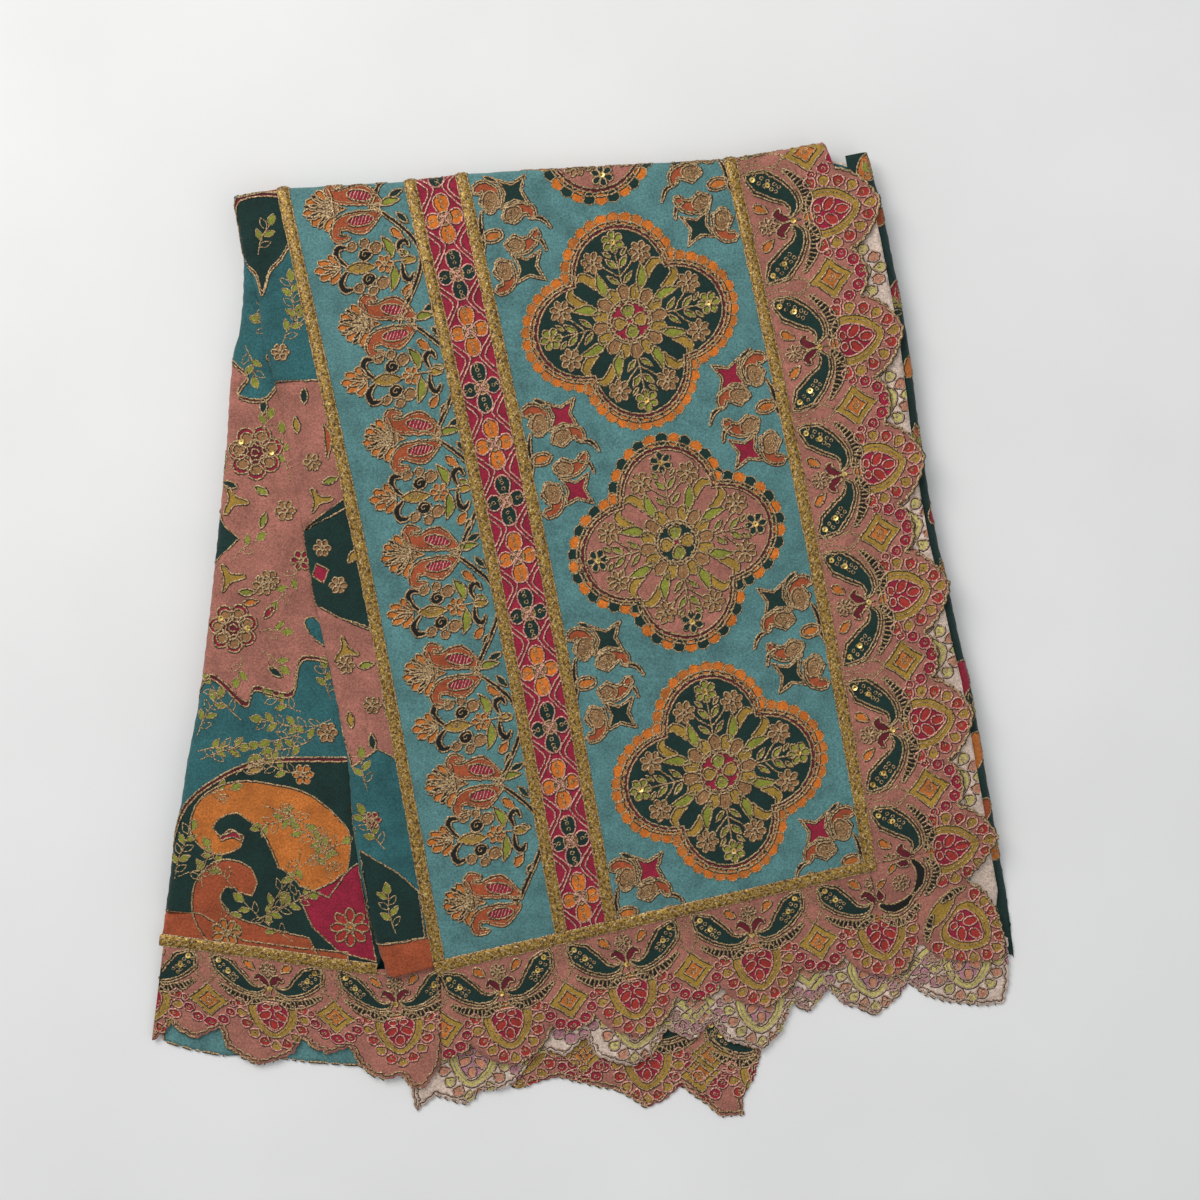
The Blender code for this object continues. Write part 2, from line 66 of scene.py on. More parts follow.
# The photograph's scale on the cloth: a pixel's size and the pixel at the plan's zero
MM_PER_PIXEL = 0.57
ZERO_PIXEL = (583.0, 631.5)
PHOTO_SIZE = 1200.0

# Folded edges, measured on the outside of the cloth
SIDE_ROLL = 3.0 + WALL
SIDE_DROP = 6.0
TOP_ROLL = 4.0 + WALL
TOP_DROP = 8.0
TUCK_ROLL = 1.5 + WALL
TUCK_TURN = 110.0
TUCK_END = 1.0
LOWEST = 1.0

# End panel
CORNER = Vector((164.7, -134.8))
HEM_LEFT = Vector((-0.974, -0.228))
BAND_UP = Vector((-0.197, 0.981))
BAND_BOW = 3.2
BAND_LENGTH = 440.0
MEDALLION_EDGE = 152.0
CROSS_EDGE = 181.5
BUSH_EDGE = 253.5
BORDER_END = 251.0
TOP_LENGTHS = [(-78, 397), (-63, 403), (-58, 410), (0, 414), (149, 440), (187, 444), (256, 456),
               (320, 460)]
TAPE_WIDTH = 7.0

# Scalloped border
PERIOD = 74.0
BIG_TIP = 72.0
SMALL_TIP = 58.0
VALLEY = 50.0
VALLEY_PLACE = 23.5
HEM_SHARE = 0.93
HEM_COVER = 2.0
LEFT_BORDER_SHARE = 0.82
LEFT_BORDER_DOWN = Vector((0.1, -0.995))
LEFT_FIRST_SCALLOP = 61.6
FAN_TIP = 67.0
CORNER_PUSH = 23.0
SIDE_STRETCH = [(0, 1.04), (74, 1.0), (220, 1.0), (370, 1.08), (414, 1.08)]
CORNER_EDGE = [(-10, -64), (-20, -52), (-30, -62), (-46, -68), (-65, -70), (-68, -50), (-62, -30),
               (-54, -21), (-64, -12)]

# Outlines in plan (x, y), as in the solids
PANEL_LEFT_EDGE = [(-199.2, 243), (-197, 231.6), (-194.7, 217), (-189, 203), (-186, 190),
                   (-183.5, 170), (-178.5, 150), (-174.7, 138), (-171.3, 125), (-169.6, 112),
                   (-166.7, 99), (-161.5, 68.6), (-158.2, 47), (-153.5, 18), (-148.5, 0),
                   (-145.6, -17), (-141.6, -36), (-137, -58), (-134.2, -77), (-131.4, -113),
                   (-128.2, -133), (-124, -155), (-118, -181), (-113.5, -195)]
LEFT_FOLD_EDGE = [(-195, 217), (-195.2, 203), (-195.6, 189), (-197.5, 171.8), (-201, 160),
                  (-203, 140), (-204.9, 103), (-207.8, 75), (-210.6, 46), (-213.5, 18),
                  (-216.9, -11), (-220.3, -39), (-223.7, -56), (-227.7, -76), (-230.6, -96),
                  (-234, -113), (-238, -142), (-242, -164.5), (-244.5, -178)]
RIGHT_FOLD_EDGE = [(162.4, 276.3), (170.5, 247.5), (175.3, 226), (180.5, 199), (186.1, 169),
                   (190, 140), (194.1, 108), (198.6, 79), (203.8, 51), (210, 25), (216.3, -5),
                   (222, -28), (226, -51), (231.7, -84), (236.5, -108), (240.8, -128),
                   (245.5, -150), (250.3, -190)]
LEFT_HEM_SEAM = [(-244.5, -178.1), (-183, -186), (-136, -193), (-119, -195.2), (-112.9, -195.2),
                 (-86.6, -190.9)]
LEFT_HEM_EDGE = [(-81.7, -192), (-81.2, -239), (-83, -252), (-91.7, -264.7), (-98.7, -265.2),
                 (-105, -257), (-113, -260), (-123, -257), (-130, -251), (-135, -241),
                 (-147.5, -245.4), (-157, -241), (-162.7, -235.5), (-168, -245), (-178, -249),
                 (-188.4, -251.7), (-199, -246), (-206.9, -241), (-210, -229.6), (-224.3, -236.3),
                 (-235, -231), (-238.5, -226.6), (-243, -233), (-250, -238)]
UNDER_LEFT_EDGE = [(-246, -200), (-244, -238), (-228, -243), (-207, -247), (-188, -246),
                   (-162, -250), (-135, -252), (-112, -252), (-96, -240), (-90, -205), (-150, -195)]
REVERSED_HEM_EDGE = [(-95, -235), (-99.5, -266), (-96.9, -279), (-90.5, -274), (-85.5, -269.6),
                     (-78, -272), (-67.1, -275.3), (-60, -267), (-47, -266), (-37, -259),
                     (-30, -247), (-19, -243), (-10.2, -246), (1.4, -235), (8, -246), (19, -250),
                     (29.4, -252.5), (40, -246), (48.7, -230), (63.4, -237), (75.2, -226),
                     (84, -238), (94, -240), (104.3, -243), (115, -232), (121.4, -216),
                     (132.3, -221), (142.5, -207), (152, -217), (161, -219), (171, -223.2),
                     (182, -214), (189.5, -204), (199, -211), (213, -215.5), (231, -217.5),
                     (244.5, -216.5), (246.8, -205), (246.2, -178)]
LOWER_HEM_EDGE = [(-48, -225), (-44, -262), (-38.2, -266), (-22, -261), (-13.7, -259), (-2.3, -262),
                  (7, -264), (21, -267), (30, -272), (37, -277), (47, -273), (57, -264),
                  (71.8, -274.4), (79.8, -282), (93.5, -281.3), (92, -272), (99, -260.3),
                  (103.2, -244), (98, -226)]
RIGHT_FOLD_INNER = [(150, 272), (165, 190), (176, 90), (205, -60), (225, -160), (232, -185)]
REVERSED_SIDE_INSET = 6.0
REVERSED_SIDE_INNER = [(238, -170), (205, -163), (160, 10), (135, 262)]
REVERSED_HEM_INNER = [(236, -172), (170, -180), (60, -205), (-60, -228)]
LOWER_HEM_INNER = [(80, -215), (-30, -215)]
LEFT_STRETCH_TOP = [(-150, 232), (-185, 230)]
TUCK_AT_HEM = 5.0
TUCK_AT_TOP = 42.0
CORE_EDGE = [(-188, 246), (-100, 252), (-25, 259), (60, 264), (152, 268), (167, 215), (178, 169),
             (186, 108), (196, 50), (209, -5), (219, -51), (228, -101), (236, -142), (239, -168),
             (181, -181), (124, -200), (87, -214), (21, -230), (-47, -236), (-104, -229),
             (-190, -214), (-236, -205), (-236, -178), (-230, -142), (-222, -96), (-215, -56),
             (-208, -11), (-201, 46), (-196, 103), (-192, 150), (-188, 190)]
CORE_FOLDS = 5
CORE_GROOVE = 1.6
CORE_LINE_STEP = 5.0
CORE_INSET = 0.5
CORE_WAVE = 0.8
CORE_SINK = 0.3

# Fineness of the meshes, and widths of the threads
LATTICE = 4.2
EDGE_STEP = 2.4
THREAD_STEP = 1.4
THREAD_WIDTH = 0.85
THREAD_HEIGHT = 0.5
THREAD_SHAKE = 0.13
THREAD_FOOT = 0.08
# THREAD_SHADE: width of the painted shadow strip beside a thread
THREAD_SHADE = 0.55
FINE = 0.6
LOOP_WIDTH = 0.7
BAR_WIDTH = 0.8
OVERCAST_WIDTH = 1.2
OVERCAST_GAP = 2.3
EDGE_SAMPLE = 1.5
SEAM = 0.02
HEIGHT_STEP = 4.0
HEIGHT_X = (-272.0, 272.0)
HEIGHT_Y = (-296.0, 300.0)

# Colours as the eye sees them, in sRGB
PALETTE = {
    "teal": (84, 127, 127),
    "deep_teal": (44, 94, 97),
    "rose": (162, 104, 90),
    "green": (16, 46, 41),
    "black": (22, 22, 20),
    # umber is both the printed dark outlines and the painted shadow strips beside the threads
    "umber": (50, 36, 26),
    "crimson": (146, 28, 54),
    "maroon": (100, 24, 38),
    "red": (160, 48, 42),
    "orange": (188, 108, 44),
    "bright_orange": (206, 112, 36),
    "rust": (158, 76, 44),
    "mustard": (160, 126, 50),
    "lime": (132, 136, 50),
    "beige": (148, 106, 68),
    "pale": (212, 190, 174),
    "mauve": (178, 120, 136),
    "faded_lime": (192, 180, 108),
    "faded_rust": (196, 132, 104),
    "faded_green": (150, 140, 126),
    "lining": (112, 160, 164),
}
# Thread colours: painted shade in the gaps, the thread's own colour, and a painted glint
THREADS = {
    "gold": ((50, 36, 20), (172, 142, 100), (232, 210, 170)),
    "pink": ((104, 50, 44), (206, 148, 130), (240, 208, 192)),
    "yellow": ((80, 56, 16), (164, 128, 48), (226, 202, 120)),
    "faint": ((104, 86, 68), (178, 148, 128), (222, 200, 180)),
}
FADED = {"rose": "pale", "crimson": "mauve", "maroon": "mauve", "orange": "faded_rust", "rust": "faded_rust",
         "red": "faded_rust", "mustard": "faded_lime", "lime": "faded_lime", "green": "faded_green",
         "black": "faded_green", "umber": "faded_green", "beige": "pale", "teal": "lining"}

# Places of the motifs on the end panel: pixels of the medallions' middles, then millimetres
MEDALLIONS_PX = [((585, 94), False), ((630, 320), True), ((677, 542), False), ((720, 772), True)]
ORNAMENT_UPS = [401.0, 270.5, 140.0, 6.0]
ORNAMENT_INSET = 9.5
FIRST_CROSS = 449.7
CROSS_PITCH = 33.0

# Tips of the big scallops on the fanned hems: (x, y, degrees turned)
LOWER_HEM_TIPS = [(-37, -268, -4), (37, -277, 0), (108, -284, 6)]
REVERSED_HEM_TIPS = [(-67, -275, -6), (29.4, -252.5, -2), (104, -243, 4), (170, -223, 6), (226, -218, 8)]
LINING_REACH = 54.0
REVERSED_SIDE_PUSH = 3.0


def mix(low, high, share):
    return low + (high - low) * share


def steps(low, high, count):
    """Evenly spaced values with both ends."""
    return [mix(low, high, i / count) for i in range(count + 1)]


def turned(a, b, degrees, x=0.0, y=0.0):
    """A point turned about zero, then moved."""
    turn = math.radians(degrees)
    return (x + a * math.cos(turn) - b * math.sin(turn), y + a * math.sin(turn) + b * math.cos(turn))


def table_value(rows, place):
    """The second column at a place in the first, straight between rows."""
    if place <= rows[0][0]:
        return rows[0][1]
    for (x0, y0), (x1, y1) in zip(rows, rows[1:]):
        if place <= x1:
            return mix(y0, y1, (place - x0) / (x1 - x0))
    return rows[-1][1]


def edge_x(edge, y):
    """The x of an edge that runs down the plan, at a height y."""
    return table_value([(b, a) for a, b in reversed(edge)], y)


def panel_point(left, up):
    bow = BAND_BOW * math.sin(math.pi * min(max(up / BAND_LENGTH, 0.0), 1.0))
    return CORNER + HEM_LEFT * (left - bow) + BAND_UP * up


def panel_place(x, y):
    """The (left, up) of a plan point: panel_point the other way round."""
    dx, dy = x - CORNER.x, y - CORNER.y
    det = HEM_LEFT.x * BAND_UP.y - BAND_UP.x * HEM_LEFT.y
    left = (dx * BAND_UP.y - BAND_UP.x * dy) / det
    up = (HEM_LEFT.x * dy - dx * HEM_LEFT.y) / det
    bow = BAND_BOW * math.sin(math.pi * min(max(up / BAND_LENGTH, 0.0), 1.0))
    return Vector((left + bow, up))


def plan_of(pixel):
    """The plan point that a pixel of the photograph shows."""
    return Vector(((pixel[0] - ZERO_PIXEL[0]) * MM_PER_PIXEL, (ZERO_PIXEL[1] - pixel[1]) * MM_PER_PIXEL))


def panel_of(pixel):
    return panel_place(*plan_of(pixel))


def plans(pixels):
    return [plan_of(p) for p in pixels]


def panels(pixels):
    return [panel_of(p) for p in pixels]


def top_length(left):
    return table_value(TOP_LENGTHS, left)


def scallop_depth(along):
    """How far the scalloped border reaches from its seam, at a distance along it."""
    offset = abs((along + PERIOD / 2) % PERIOD - PERIOD / 2)
    if offset < VALLEY_PLACE:
        share = offset / VALLEY_PLACE
        shape = 0.7 * math.sqrt(1.0 - share * share) + 0.3 * (1.0 - share)
        return mix(VALLEY, BIG_TIP, shape)
    half_width = PERIOD / 2 - VALLEY_PLACE
    share = (PERIOD / 2 - offset) / half_width
    return mix(VALLEY, SMALL_TIP, math.sqrt(max(1.0 - share * share, 0.0)))


def side_depth(up):
    return scallop_depth(up) * table_value(SIDE_STRETCH, up)


# Shapes, as lists of points


def spaced(points, step=EDGE_STEP):
    """A line through points, with no stretch longer than a step."""
    line = []
    for start, end in zip(points, points[1:]):
        start, end = Vector(start), Vector(end)
        count = max(1, math.ceil((end - start).length / step))
        line += [start.lerp(end, i / count) for i in range(count)]
    return line + [Vector(points[-1])]


def curve(points, step=1.8, closed=False):
    """A smooth line through points."""
    points = [Vector(p) for p in points]
    count = len(points)
    line = []
    for i in range(count if closed else count - 1):
        if closed:
            a, b, c, d = (points[(i + k) % count] for k in (-1, 0, 1, 2))
        else:
            a, b, c, d = (points[min(max(i + k, 0), count - 1)] for k in (-1, 0, 1, 2))
        steps = max(2, math.ceil((c - b).length / step))
        for j in range(steps):
            t = j / steps
            bend = 2 * b + (c - a) * t + (2 * a - 5 * b + 4 * c - d) * t ** 2
            line.append(0.5 * (bend + (3 * b - a - 3 * c + d) * t ** 3))
    if not closed:
        line.append(points[-1])
    return line


def ring(points, step=1.8):
    return curve(points, step, closed=True)


def oval(x, y, along, across, degrees=0.0, count=14):
    angles = [math.tau * i / count for i in range(count)]
    return [turned(along * math.cos(a), across * math.sin(a), degrees, x, y) for a in angles]


def bulge(base, tip, width, widest, pointed, bend=0.0, count=6):
    """A petal or leaf from its base to its tip."""
    base, tip = Vector(base), Vector(tip)
    along = tip - base
    across = Vector((-along.y, along.x)).normalized()
    sides = ([], [])
    for i in range(1, count):
        t = i / count
        if t < widest:
            half = math.sin(math.pi / 2 * t / widest)
        else:
            share = (t - widest) / (1.0 - widest)
            half = math.cos(math.pi / 2 * share) if pointed else math.sqrt(max(1.0 - share ** 2, 0.0))
        middle = base + along * t + across * bend * math.sin(math.pi * t)
        sides[0].append(middle + across * half * width / 2)
        sides[1].append(middle - across * half * width / 2)
    end = [tip]
    if not pointed:
        end = [tip - along * 0.03 + across * width * 0.14, tip - along * 0.03 - across * width * 0.14]
    return [base] + sides[0] + end + sides[1][::-1]


def petal(base, tip, width, bend=0.0, count=7):
    return bulge(base, tip, width, 0.62, False, bend, count)


def leaf(base, tip, width, bend=0.0, count=6):
    return bulge(base, tip, width, 0.45, True, bend, count)


def swell(points, widths, step=1.8):
    """The outline of a stroke that follows a smooth line and has a half width at each point."""
    line = curve(points, step)
    place = [0.0]
    for a, b in zip(line, line[1:]):
        place.append(place[-1] + (b - a).length)
    knots = []
    for point, width in zip(points, widths):
        nearest = min(range(len(line)), key=lambda i: (line[i] - Vector(point)).length)
        knots.append((place[nearest], width))
    left, right = [], []
    for i, point in enumerate(line):
        along = (line[min(i + 1, len(line) - 1)] - line[max(i - 1, 0)]).normalized()
        across = Vector((-along.y, along.x)) * max(table_value(knots, place[i]), 0.12)
        left.append(point + across)
        right.append(point - across)
    start_cap = line[0] - (line[1] - line[0]).normalized() * widths[0] * 0.8
    end_cap = line[-1] + (line[-1] - line[-2]).normalized() * widths[-1] * 0.8
    return [start_cap] + left + [end_cap] + right[::-1]


def picot(points, pitch=5.4, height=0.9):
    """An edge with the small rounded steps that the edge stitches give it."""
    line = spaced(points, 1.2)
    stepped = []
    run = 0.0
    for i, point in enumerate(line):
        before, after = line[max(i - 1, 0)], line[min(i + 1, len(line) - 1)]
        along = (after - before).normalized()
        run += (point - before).length
        across = Vector((along.y, -along.x))
        stepped.append(point + across * height * (abs(math.sin(math.pi * run / pitch)) - 0.6))
    return stepped


def inside_mask(outline, points):
    """Which of many points lie inside an outline."""
    points = np.array([(p[0], p[1]) for p in points])
    shape = np.array([(p[0], p[1]) for p in outline])
    nexts = np.roll(shape, -1, axis=0)
    found = np.zeros(len(points), bool)
    for (ax, ay), (bx, by) in zip(shape, nexts):
        if ay == by:
            continue
        crosses = (ay > points[:, 1]) != (by > points[:, 1])
        found ^= crosses & (points[:, 0] < (bx - ax) * (points[:, 1] - ay) / (by - ay) + ax)
    return found


class Work:
    """The printed patches, thread lines and sequins of one stretch of cloth."""

    def __init__(self, move=None, share=None, faded=False):
        self.move = move or (lambda p: Vector((p[0], p[1])))
        self.faded = faded
        self.patches = share.patches if share else []
        self.threads = share.threads if share else []
        self.sequins = share.sequins if share else []

    def view(self, move):
        """The same work, drawn through one more move."""
        return Work(lambda p: self.move(move(p)), self, self.faded)

    def at(self, x, y, degrees=0.0, size=1.0, flip=False):
        side = -1.0 if flip else 1.0
        return self.view(lambda p: turned(side * p[0] * size, p[1] * size, degrees, x, y))

    def sides(self):
        """Both halves of a symmetric motif."""
        return [self.view(lambda p, s=s: (s * p[0], p[1])) for s in (-1.0, 1.0)]

    def patch(self, points, color, thread="gold", width=THREAD_WIDTH):
        moved = [self.move(p) for p in points]
        self.patches.append((moved, FADED.get(color, color) if self.faded else color))
        if thread:
            self.threads.append((moved + moved[:1], "faint" if self.faded else thread, width))

    def line(self, points, thread="gold", width=THREAD_WIDTH):
        self.threads.append(([self.move(p) for p in points], "faint" if self.faded else thread, width))

    def dots(self, points):
        if not self.faded:
            self.sequins.extend(self.move(p) for p in points)


# Motifs, in millimetres about their own zero


def flower(work, x, y, radius, count, color, core, turn=0.0):
    for i in range(count):
        angle = math.tau * i / count + math.radians(turn)
        tip = (x + radius * math.cos(angle), y + radius * math.sin(angle))
        base = (x + 0.12 * (tip[0] - x), y + 0.12 * (tip[1] - y))
        work.patch(petal(base, tip, 1.15 * math.pi * radius / count, count=5), color)
    work.patch(oval(x, y, 0.24 * radius, 0.24 * radius, count=8), core)


def loops(work, path, offsets, pitch=2.9, radius=1.05, thread="gold"):
    """Rows of small thread rings beside a path."""
    line = curve(path, pitch)
    for before, point in zip(line, line[1:]):
        along = (point - before).normalized()
        for offset in offsets:
            rim = oval(point.x - along.y * offset, point.y + along.x * offset, radius, radius, count=7)
            work.line(rim + rim[:1], thread, FINE)


def spiral(work, x, y, along, across, degrees=0.0, turns=2, thread="gold"):
    """A thread that winds from an oval's edge in to its heart."""
    sides = 9
    count = sides * turns
    points = []
    for i in range(count + 1):
        share = 1.0 - i / (count + 1)
        angle = math.tau * i / sides
        a, b = along * share * math.cos(angle), across * share * math.sin(angle)
        points.append(turned(a, b, degrees, x, y))
    work.line(points, thread, FINE)


def comb_bars(work, path, pitch=2.6, reach=2.1):
    """Short threads across a dark leaf, like the teeth of a comb."""
    line = curve(path, pitch)
    for before, point in zip(line, line[1:-1]):
        along = (point - before).normalized() * reach
        work.line([(point.x - along.y, point.y + along.x), (point.x + along.y, point.y - along.x)],
                  width=BAR_WIDTH)


def border_centre(work):
    """The motif at the middle of a big scallop: (along the seam, out from it)."""
    flower(work, 0, 11.6, 5.0, 8, "rose", "maroon")
    work.line([(0, 16), (0, 30)])
    work.dots([(0, 25.5)])
    for half in work.sides():
        half.patch(petal((7.6, 13.2), (13.6, 6.4), 4.8), "orange")
        half.line(curve([(1, 6), (4, 3.5), (9, 2.4)]), width=FINE)
        half.patch(swell([(0.8, 25), (2.4, 20.5), (5.4, 17.4), (8.0, 19.4)], [1.0, 2.3, 2.3, 0.9]), "maroon")
        comma = [(30, 7), (26, 12.5), (19, 20.5), (12.5, 26), (6.5, 27), (2.5, 24)]
        half.patch(swell(comma, [3.6, 7.6, 6.8, 4.6, 3.4, 0.9]), "umber")
        half.patch(swell(comma, [1.9, 5.7, 5.0, 2.9, 1.8, 0.4]), "green")
        loops(half, comma[:3], (-2.3, 0.8), 3.8, 0.95)
        half.dots([(28, 9), (23, 16)])
        comb = [(3.5, 31.5), (9, 35), (16, 34.3), (23, 31), (30, 26)]
        half.patch(swell(comb, [1.2, 2.8, 2.8, 2.3, 0.7]), "black")
        comb_bars(half, comb)
        half.line(curve([(34, 19.5), (26, 27.4), (15, 31.9)]), width=FINE)
    work.patch(oval(0, 34, 3.0, 3.0, count=10), "orange")


def border_shield(work):
    """The shield that fills a big scallop, with its ring of small petals."""
    middle = Vector((0.0, 45.0))
    petal_spots = [(17.6, 38.2), (17.2, 45.2), (15.2, 52.2), (11.4, 58.4), (6.2, 63.6), (0, 66.0)]
    for i, (x, y) in enumerate(petal_spots):
        color = ("red", "mustard")[i % 2]
        for side in (-1, 1) if x else (1,):
            spot = Vector((x * side, y))
            reach = (spot - middle).normalized() * 4.4
            work.patch(petal(spot - reach * 0.8, spot + reach, 6.4, count=5), color, "pink")
            spiral(work, spot.x, spot.y, 1.3, 1.3, 0.0, 1)
    work.patch(ring([(0, 33.5), (8, 33.6), (13.6, 38), (14.0, 45), (10.4, 53.5), (0, 61), (-10.4, 53.5),
                     (-14.0, 45), (-13.6, 38), (-8, 33.6)]), "mustard")
    work.patch(ring([(0, 35.6), (5.2, 36), (8.8, 39.2), (8.8, 44.6), (5.8, 51.2), (0, 56.6), (-5.8, 51.2),
                     (-8.8, 44.6), (-8.8, 39.2), (-5.2, 36)]), "crimson", "pink")
    work.patch(oval(0, 51.4, 2.7, 3.8, count=9), "red", "pink", LOOP_WIDTH)
    for half in work.sides():
        half.patch(oval(3.2, 38.9, 2.5, 1.9, count=9), "red", "pink", LOOP_WIDTH)
        half.patch(oval(4.6, 45.2, 4.4, 2.7, 40, 10), "red", "pink", LOOP_WIDTH)
        half.line(curve([(11.2, 38.6), (11.4, 45), (8.2, 52), (1, 58.6)]), width=FINE)


def border_gap(work):
    """The diamond and loops between two big scallops."""
    for half in work.sides():
        half.line(curve([(1.6, 2), (1.0, 12), (4.4, 20), (0.5, 27)]), width=FINE)
        half.line(curve([(4.6, 2), (3.4, 11), (6.6, 19), (1.0, 27.5)]), width=FINE)
        for x, y, radius in ((7.4, 52.4, 3.5), (12.2, 46.4, 3.2), (14.2, 39.6, 2.4)):
            half.patch(oval(x, y, radius, radius, count=10), "crimson", "pink", LOOP_WIDTH)
            spiral(half, x, y, radius * 0.5, radius * 0.5, 0.0, 1)
    for size, color in ((12.0, "mustard"), (6.4, "orange")):
        waist = size * 0.46
        work.patch([(0, 39 - size), (waist, 39 - waist), (size, 39), (waist, 39 + waist), (0, 39 + size),
                    (-waist, 39 + waist), (-size, 39), (-waist, 39 - waist)], color)
    spiral(work, 0, 39, 2.6, 2.6)
    work.patch(oval(0, 55.2, 4.3, 3.6, count=10), "crimson", "pink", LOOP_WIDTH)
    spiral(work, 0, 55.2, 2.0, 1.8, 0.0, 1)


def border_run(work, centres):
    for place in centres:
        moved = work.view(lambda p, place=place: (p[0] + place, p[1]))
        border_shield(moved)
        border_centre(moved)
    for place in centres + [centres[-1] + PERIOD]:
        border_gap(work.view(lambda p, place=place: (p[0] + place - PERIOD / 2, p[1])))


def quatrefoil(work, ground, rim_colors, disc, leaf_color, tip_color):
    """A four-lobed medallion, with a spray of flowers in each lobe."""
    tip, cusp = 56.0, 39.0

    def rim(change, count=128):
        points = []
        for i in range(count):
            angle = math.tau * i / count
            radius = mix(cusp, tip, abs(math.cos(2 * angle))) + change
            points.append(Vector((radius * math.cos(angle), radius * math.sin(angle))))
        return points

    line = rim(0.0, 512)
    line.append(line[0])
    total = sum((b - a).length for a, b in zip(line, line[1:]))
    petals = 58
    run, next_at = 0.0, 0.0
    work.patch(rim(2.2), "umber")
    for a, b in zip(line, line[1:]):
        run += (b - a).length
        if run >= next_at:
            out = Vector(((b - a).y, -(b - a).x)).normalized()
            color = rim_colors[round(next_at / total * petals) % 2]
            work.patch(petal(a - out * 1.0, a + out * 7.4, 7.6, count=5), color, "gold", FINE)
            next_at += total / petals
    work.patch(rim(0.0), "maroon")
    work.patch(rim(-2.4), ground)
    for i in range(16):
        angle = math.tau * i / 16
        reach = Vector((math.cos(angle), math.sin(angle)))
        work.patch(petal(reach * 10, reach * 21.8, 7.0, count=5), "mustard" if i % 2 else "beige")
        work.line([reach * 14, reach * 19], width=FINE)
    work.patch(oval(0, 0, 12.8, 12.8, count=24), "maroon")
    work.patch(oval(0, 0, 11.2, 11.2, count=22), disc)
    for i in range(4):
        angle = math.tau * i / 4
        reach = Vector((math.cos(angle), math.sin(angle)))
        work.patch(petal(reach * 1.2, reach * 9.8, 7.4, count=6), ("mustard", "lime")[i % 2])
        spiral(work, *(reach * 6.2), 2.0, 2.0, 0.0, 1)
    work.patch(oval(0, 0, 2.2, 2.2, count=8), "crimson")
    for i in range(4):
        lobe = work.at(0, 0, 90.0 * i)
        lobe.line([(21, 0), (42, 0)])
        flower(lobe, 46.3, 0, 6.6, 6, tip_color, "mustard")
        lobe.dots([(46.3, 0)])
        for side in lobe.view(lambda p: (p[1], p[0])).sides():
            turned = side.view(lambda p: (p[1], p[0]))
            flower(turned, 37.4, 14.0, 6.6, 7, "beige", "maroon", 25.0)
            turned.line(curve([(26, 0), (30, 5), (35, 10)]))
            turned.patch(leaf((31, 0.8), (37.5, 6.2), 3.4), leaf_color)
            turned.patch(leaf((15.0, 8.0), (31.5, 13.0), 5.8, 1.4), leaf_color)
            turned.patch(swell([(22, 15.5), (27, 17.0), (30.5, 21.5), (28.5, 25.5)], [0.6, 2.6, 2.4, 0.5]),
                         "mustard")
            turned.patch(leaf((22, 1.4), (28, 7.4), 2.8), "lime")
            turned.patch(leaf((38, 3.0), (42, 7.2), 2.2), leaf_color)


def paisley(work, path, widths, color, tail_color):
    """A curled drop with its tail, a double outline and a spiral of thread in its bulb."""
    work.patch(swell(path, [w + 1.3 for w in widths]), "umber")
    work.patch(swell(path, widths), tail_color)
    bulb = Vector(path[-1]) * 0.8 + Vector(path[-2]) * 0.2
    lean = Vector(path[-1]) - Vector(path[-2])
    degrees = math.degrees(math.atan2(lean.y, lean.x))
    work.patch(oval(bulb.x, bulb.y, widths[-1] * 1.25, widths[-1] * 0.86, degrees, 14), color)
    spiral(work, bulb.x, bulb.y, widths[-1] * 0.98, widths[-1] * 0.62, degrees, 3)


def ornament(work, diamond):
    """Paired paisleys about an almond at a tape: (into the band, up the photograph)."""
    work.patch(leaf((-4.5, 34), (4.5, 30.5), 2.6), "green")
    work.patch(leaf((-3, -34), (-8, -43), 2.6), "green")
    work.patch(swell([(22, 9.5), (29, 9), (34, 3.5)], [0.5, 1.1, 0.4]), "black")
    work.patch(swell([(23, -2), (28, -3.5), (31, -9)], [0.5, 1.1, 0.4]), "black")
    work.patch(swell([(-5.6, 14), (-6.4, 6), (-4.8, -4), (-6, -14)], [0.5, 1.2, 1.2, 0.4]), "black")
    for x, y, lean in ((12.5, 24.5, 8), (20.5, -18.5, 8)):
        for size, color in ((1.22, "umber"), (0.95, diamond)):
            tips = [(-7, 7.5), (0, 4.2), (7.5, 7.5), (4.4, 0), (7.5, -7.5), (0, -4.5), (-7, -7), (-4.4, 0)]
            work.at(x, y, lean, size).patch(tips, color)
    for path, widths in (([(-8.4, 26.0), (-4.6, 28.2), (-0.2, 24.5), (-0.6, 17.6)], [2.2, 2.4, 4.2, 5.4]),
                         ([(3.4, -31.5), (7.6, -30), (9.2, -25), (5.6, -18.0)], [1.8, 2.2, 3.6, 5.4]),
                         ([(23.5, 10.4), (21.5, 14.6), (16.5, 14.6), (10.4, 11.4)], [1.4, 2.2, 3.4, 4.9]),
                         ([(25.4, 1.4), (23, -3.4), (18, -6.2), (11.6, -5.6)], [1.6, 2.4, 3.6, 4.9])):
        paisley(work, path, widths, "beige", "rust")
    work.patch(oval(0.6, -0.2, 6.2, 4.0, 10), "beige")
    work.patch(oval(0.6, -0.2, 4.6, 2.6, 10), "orange")


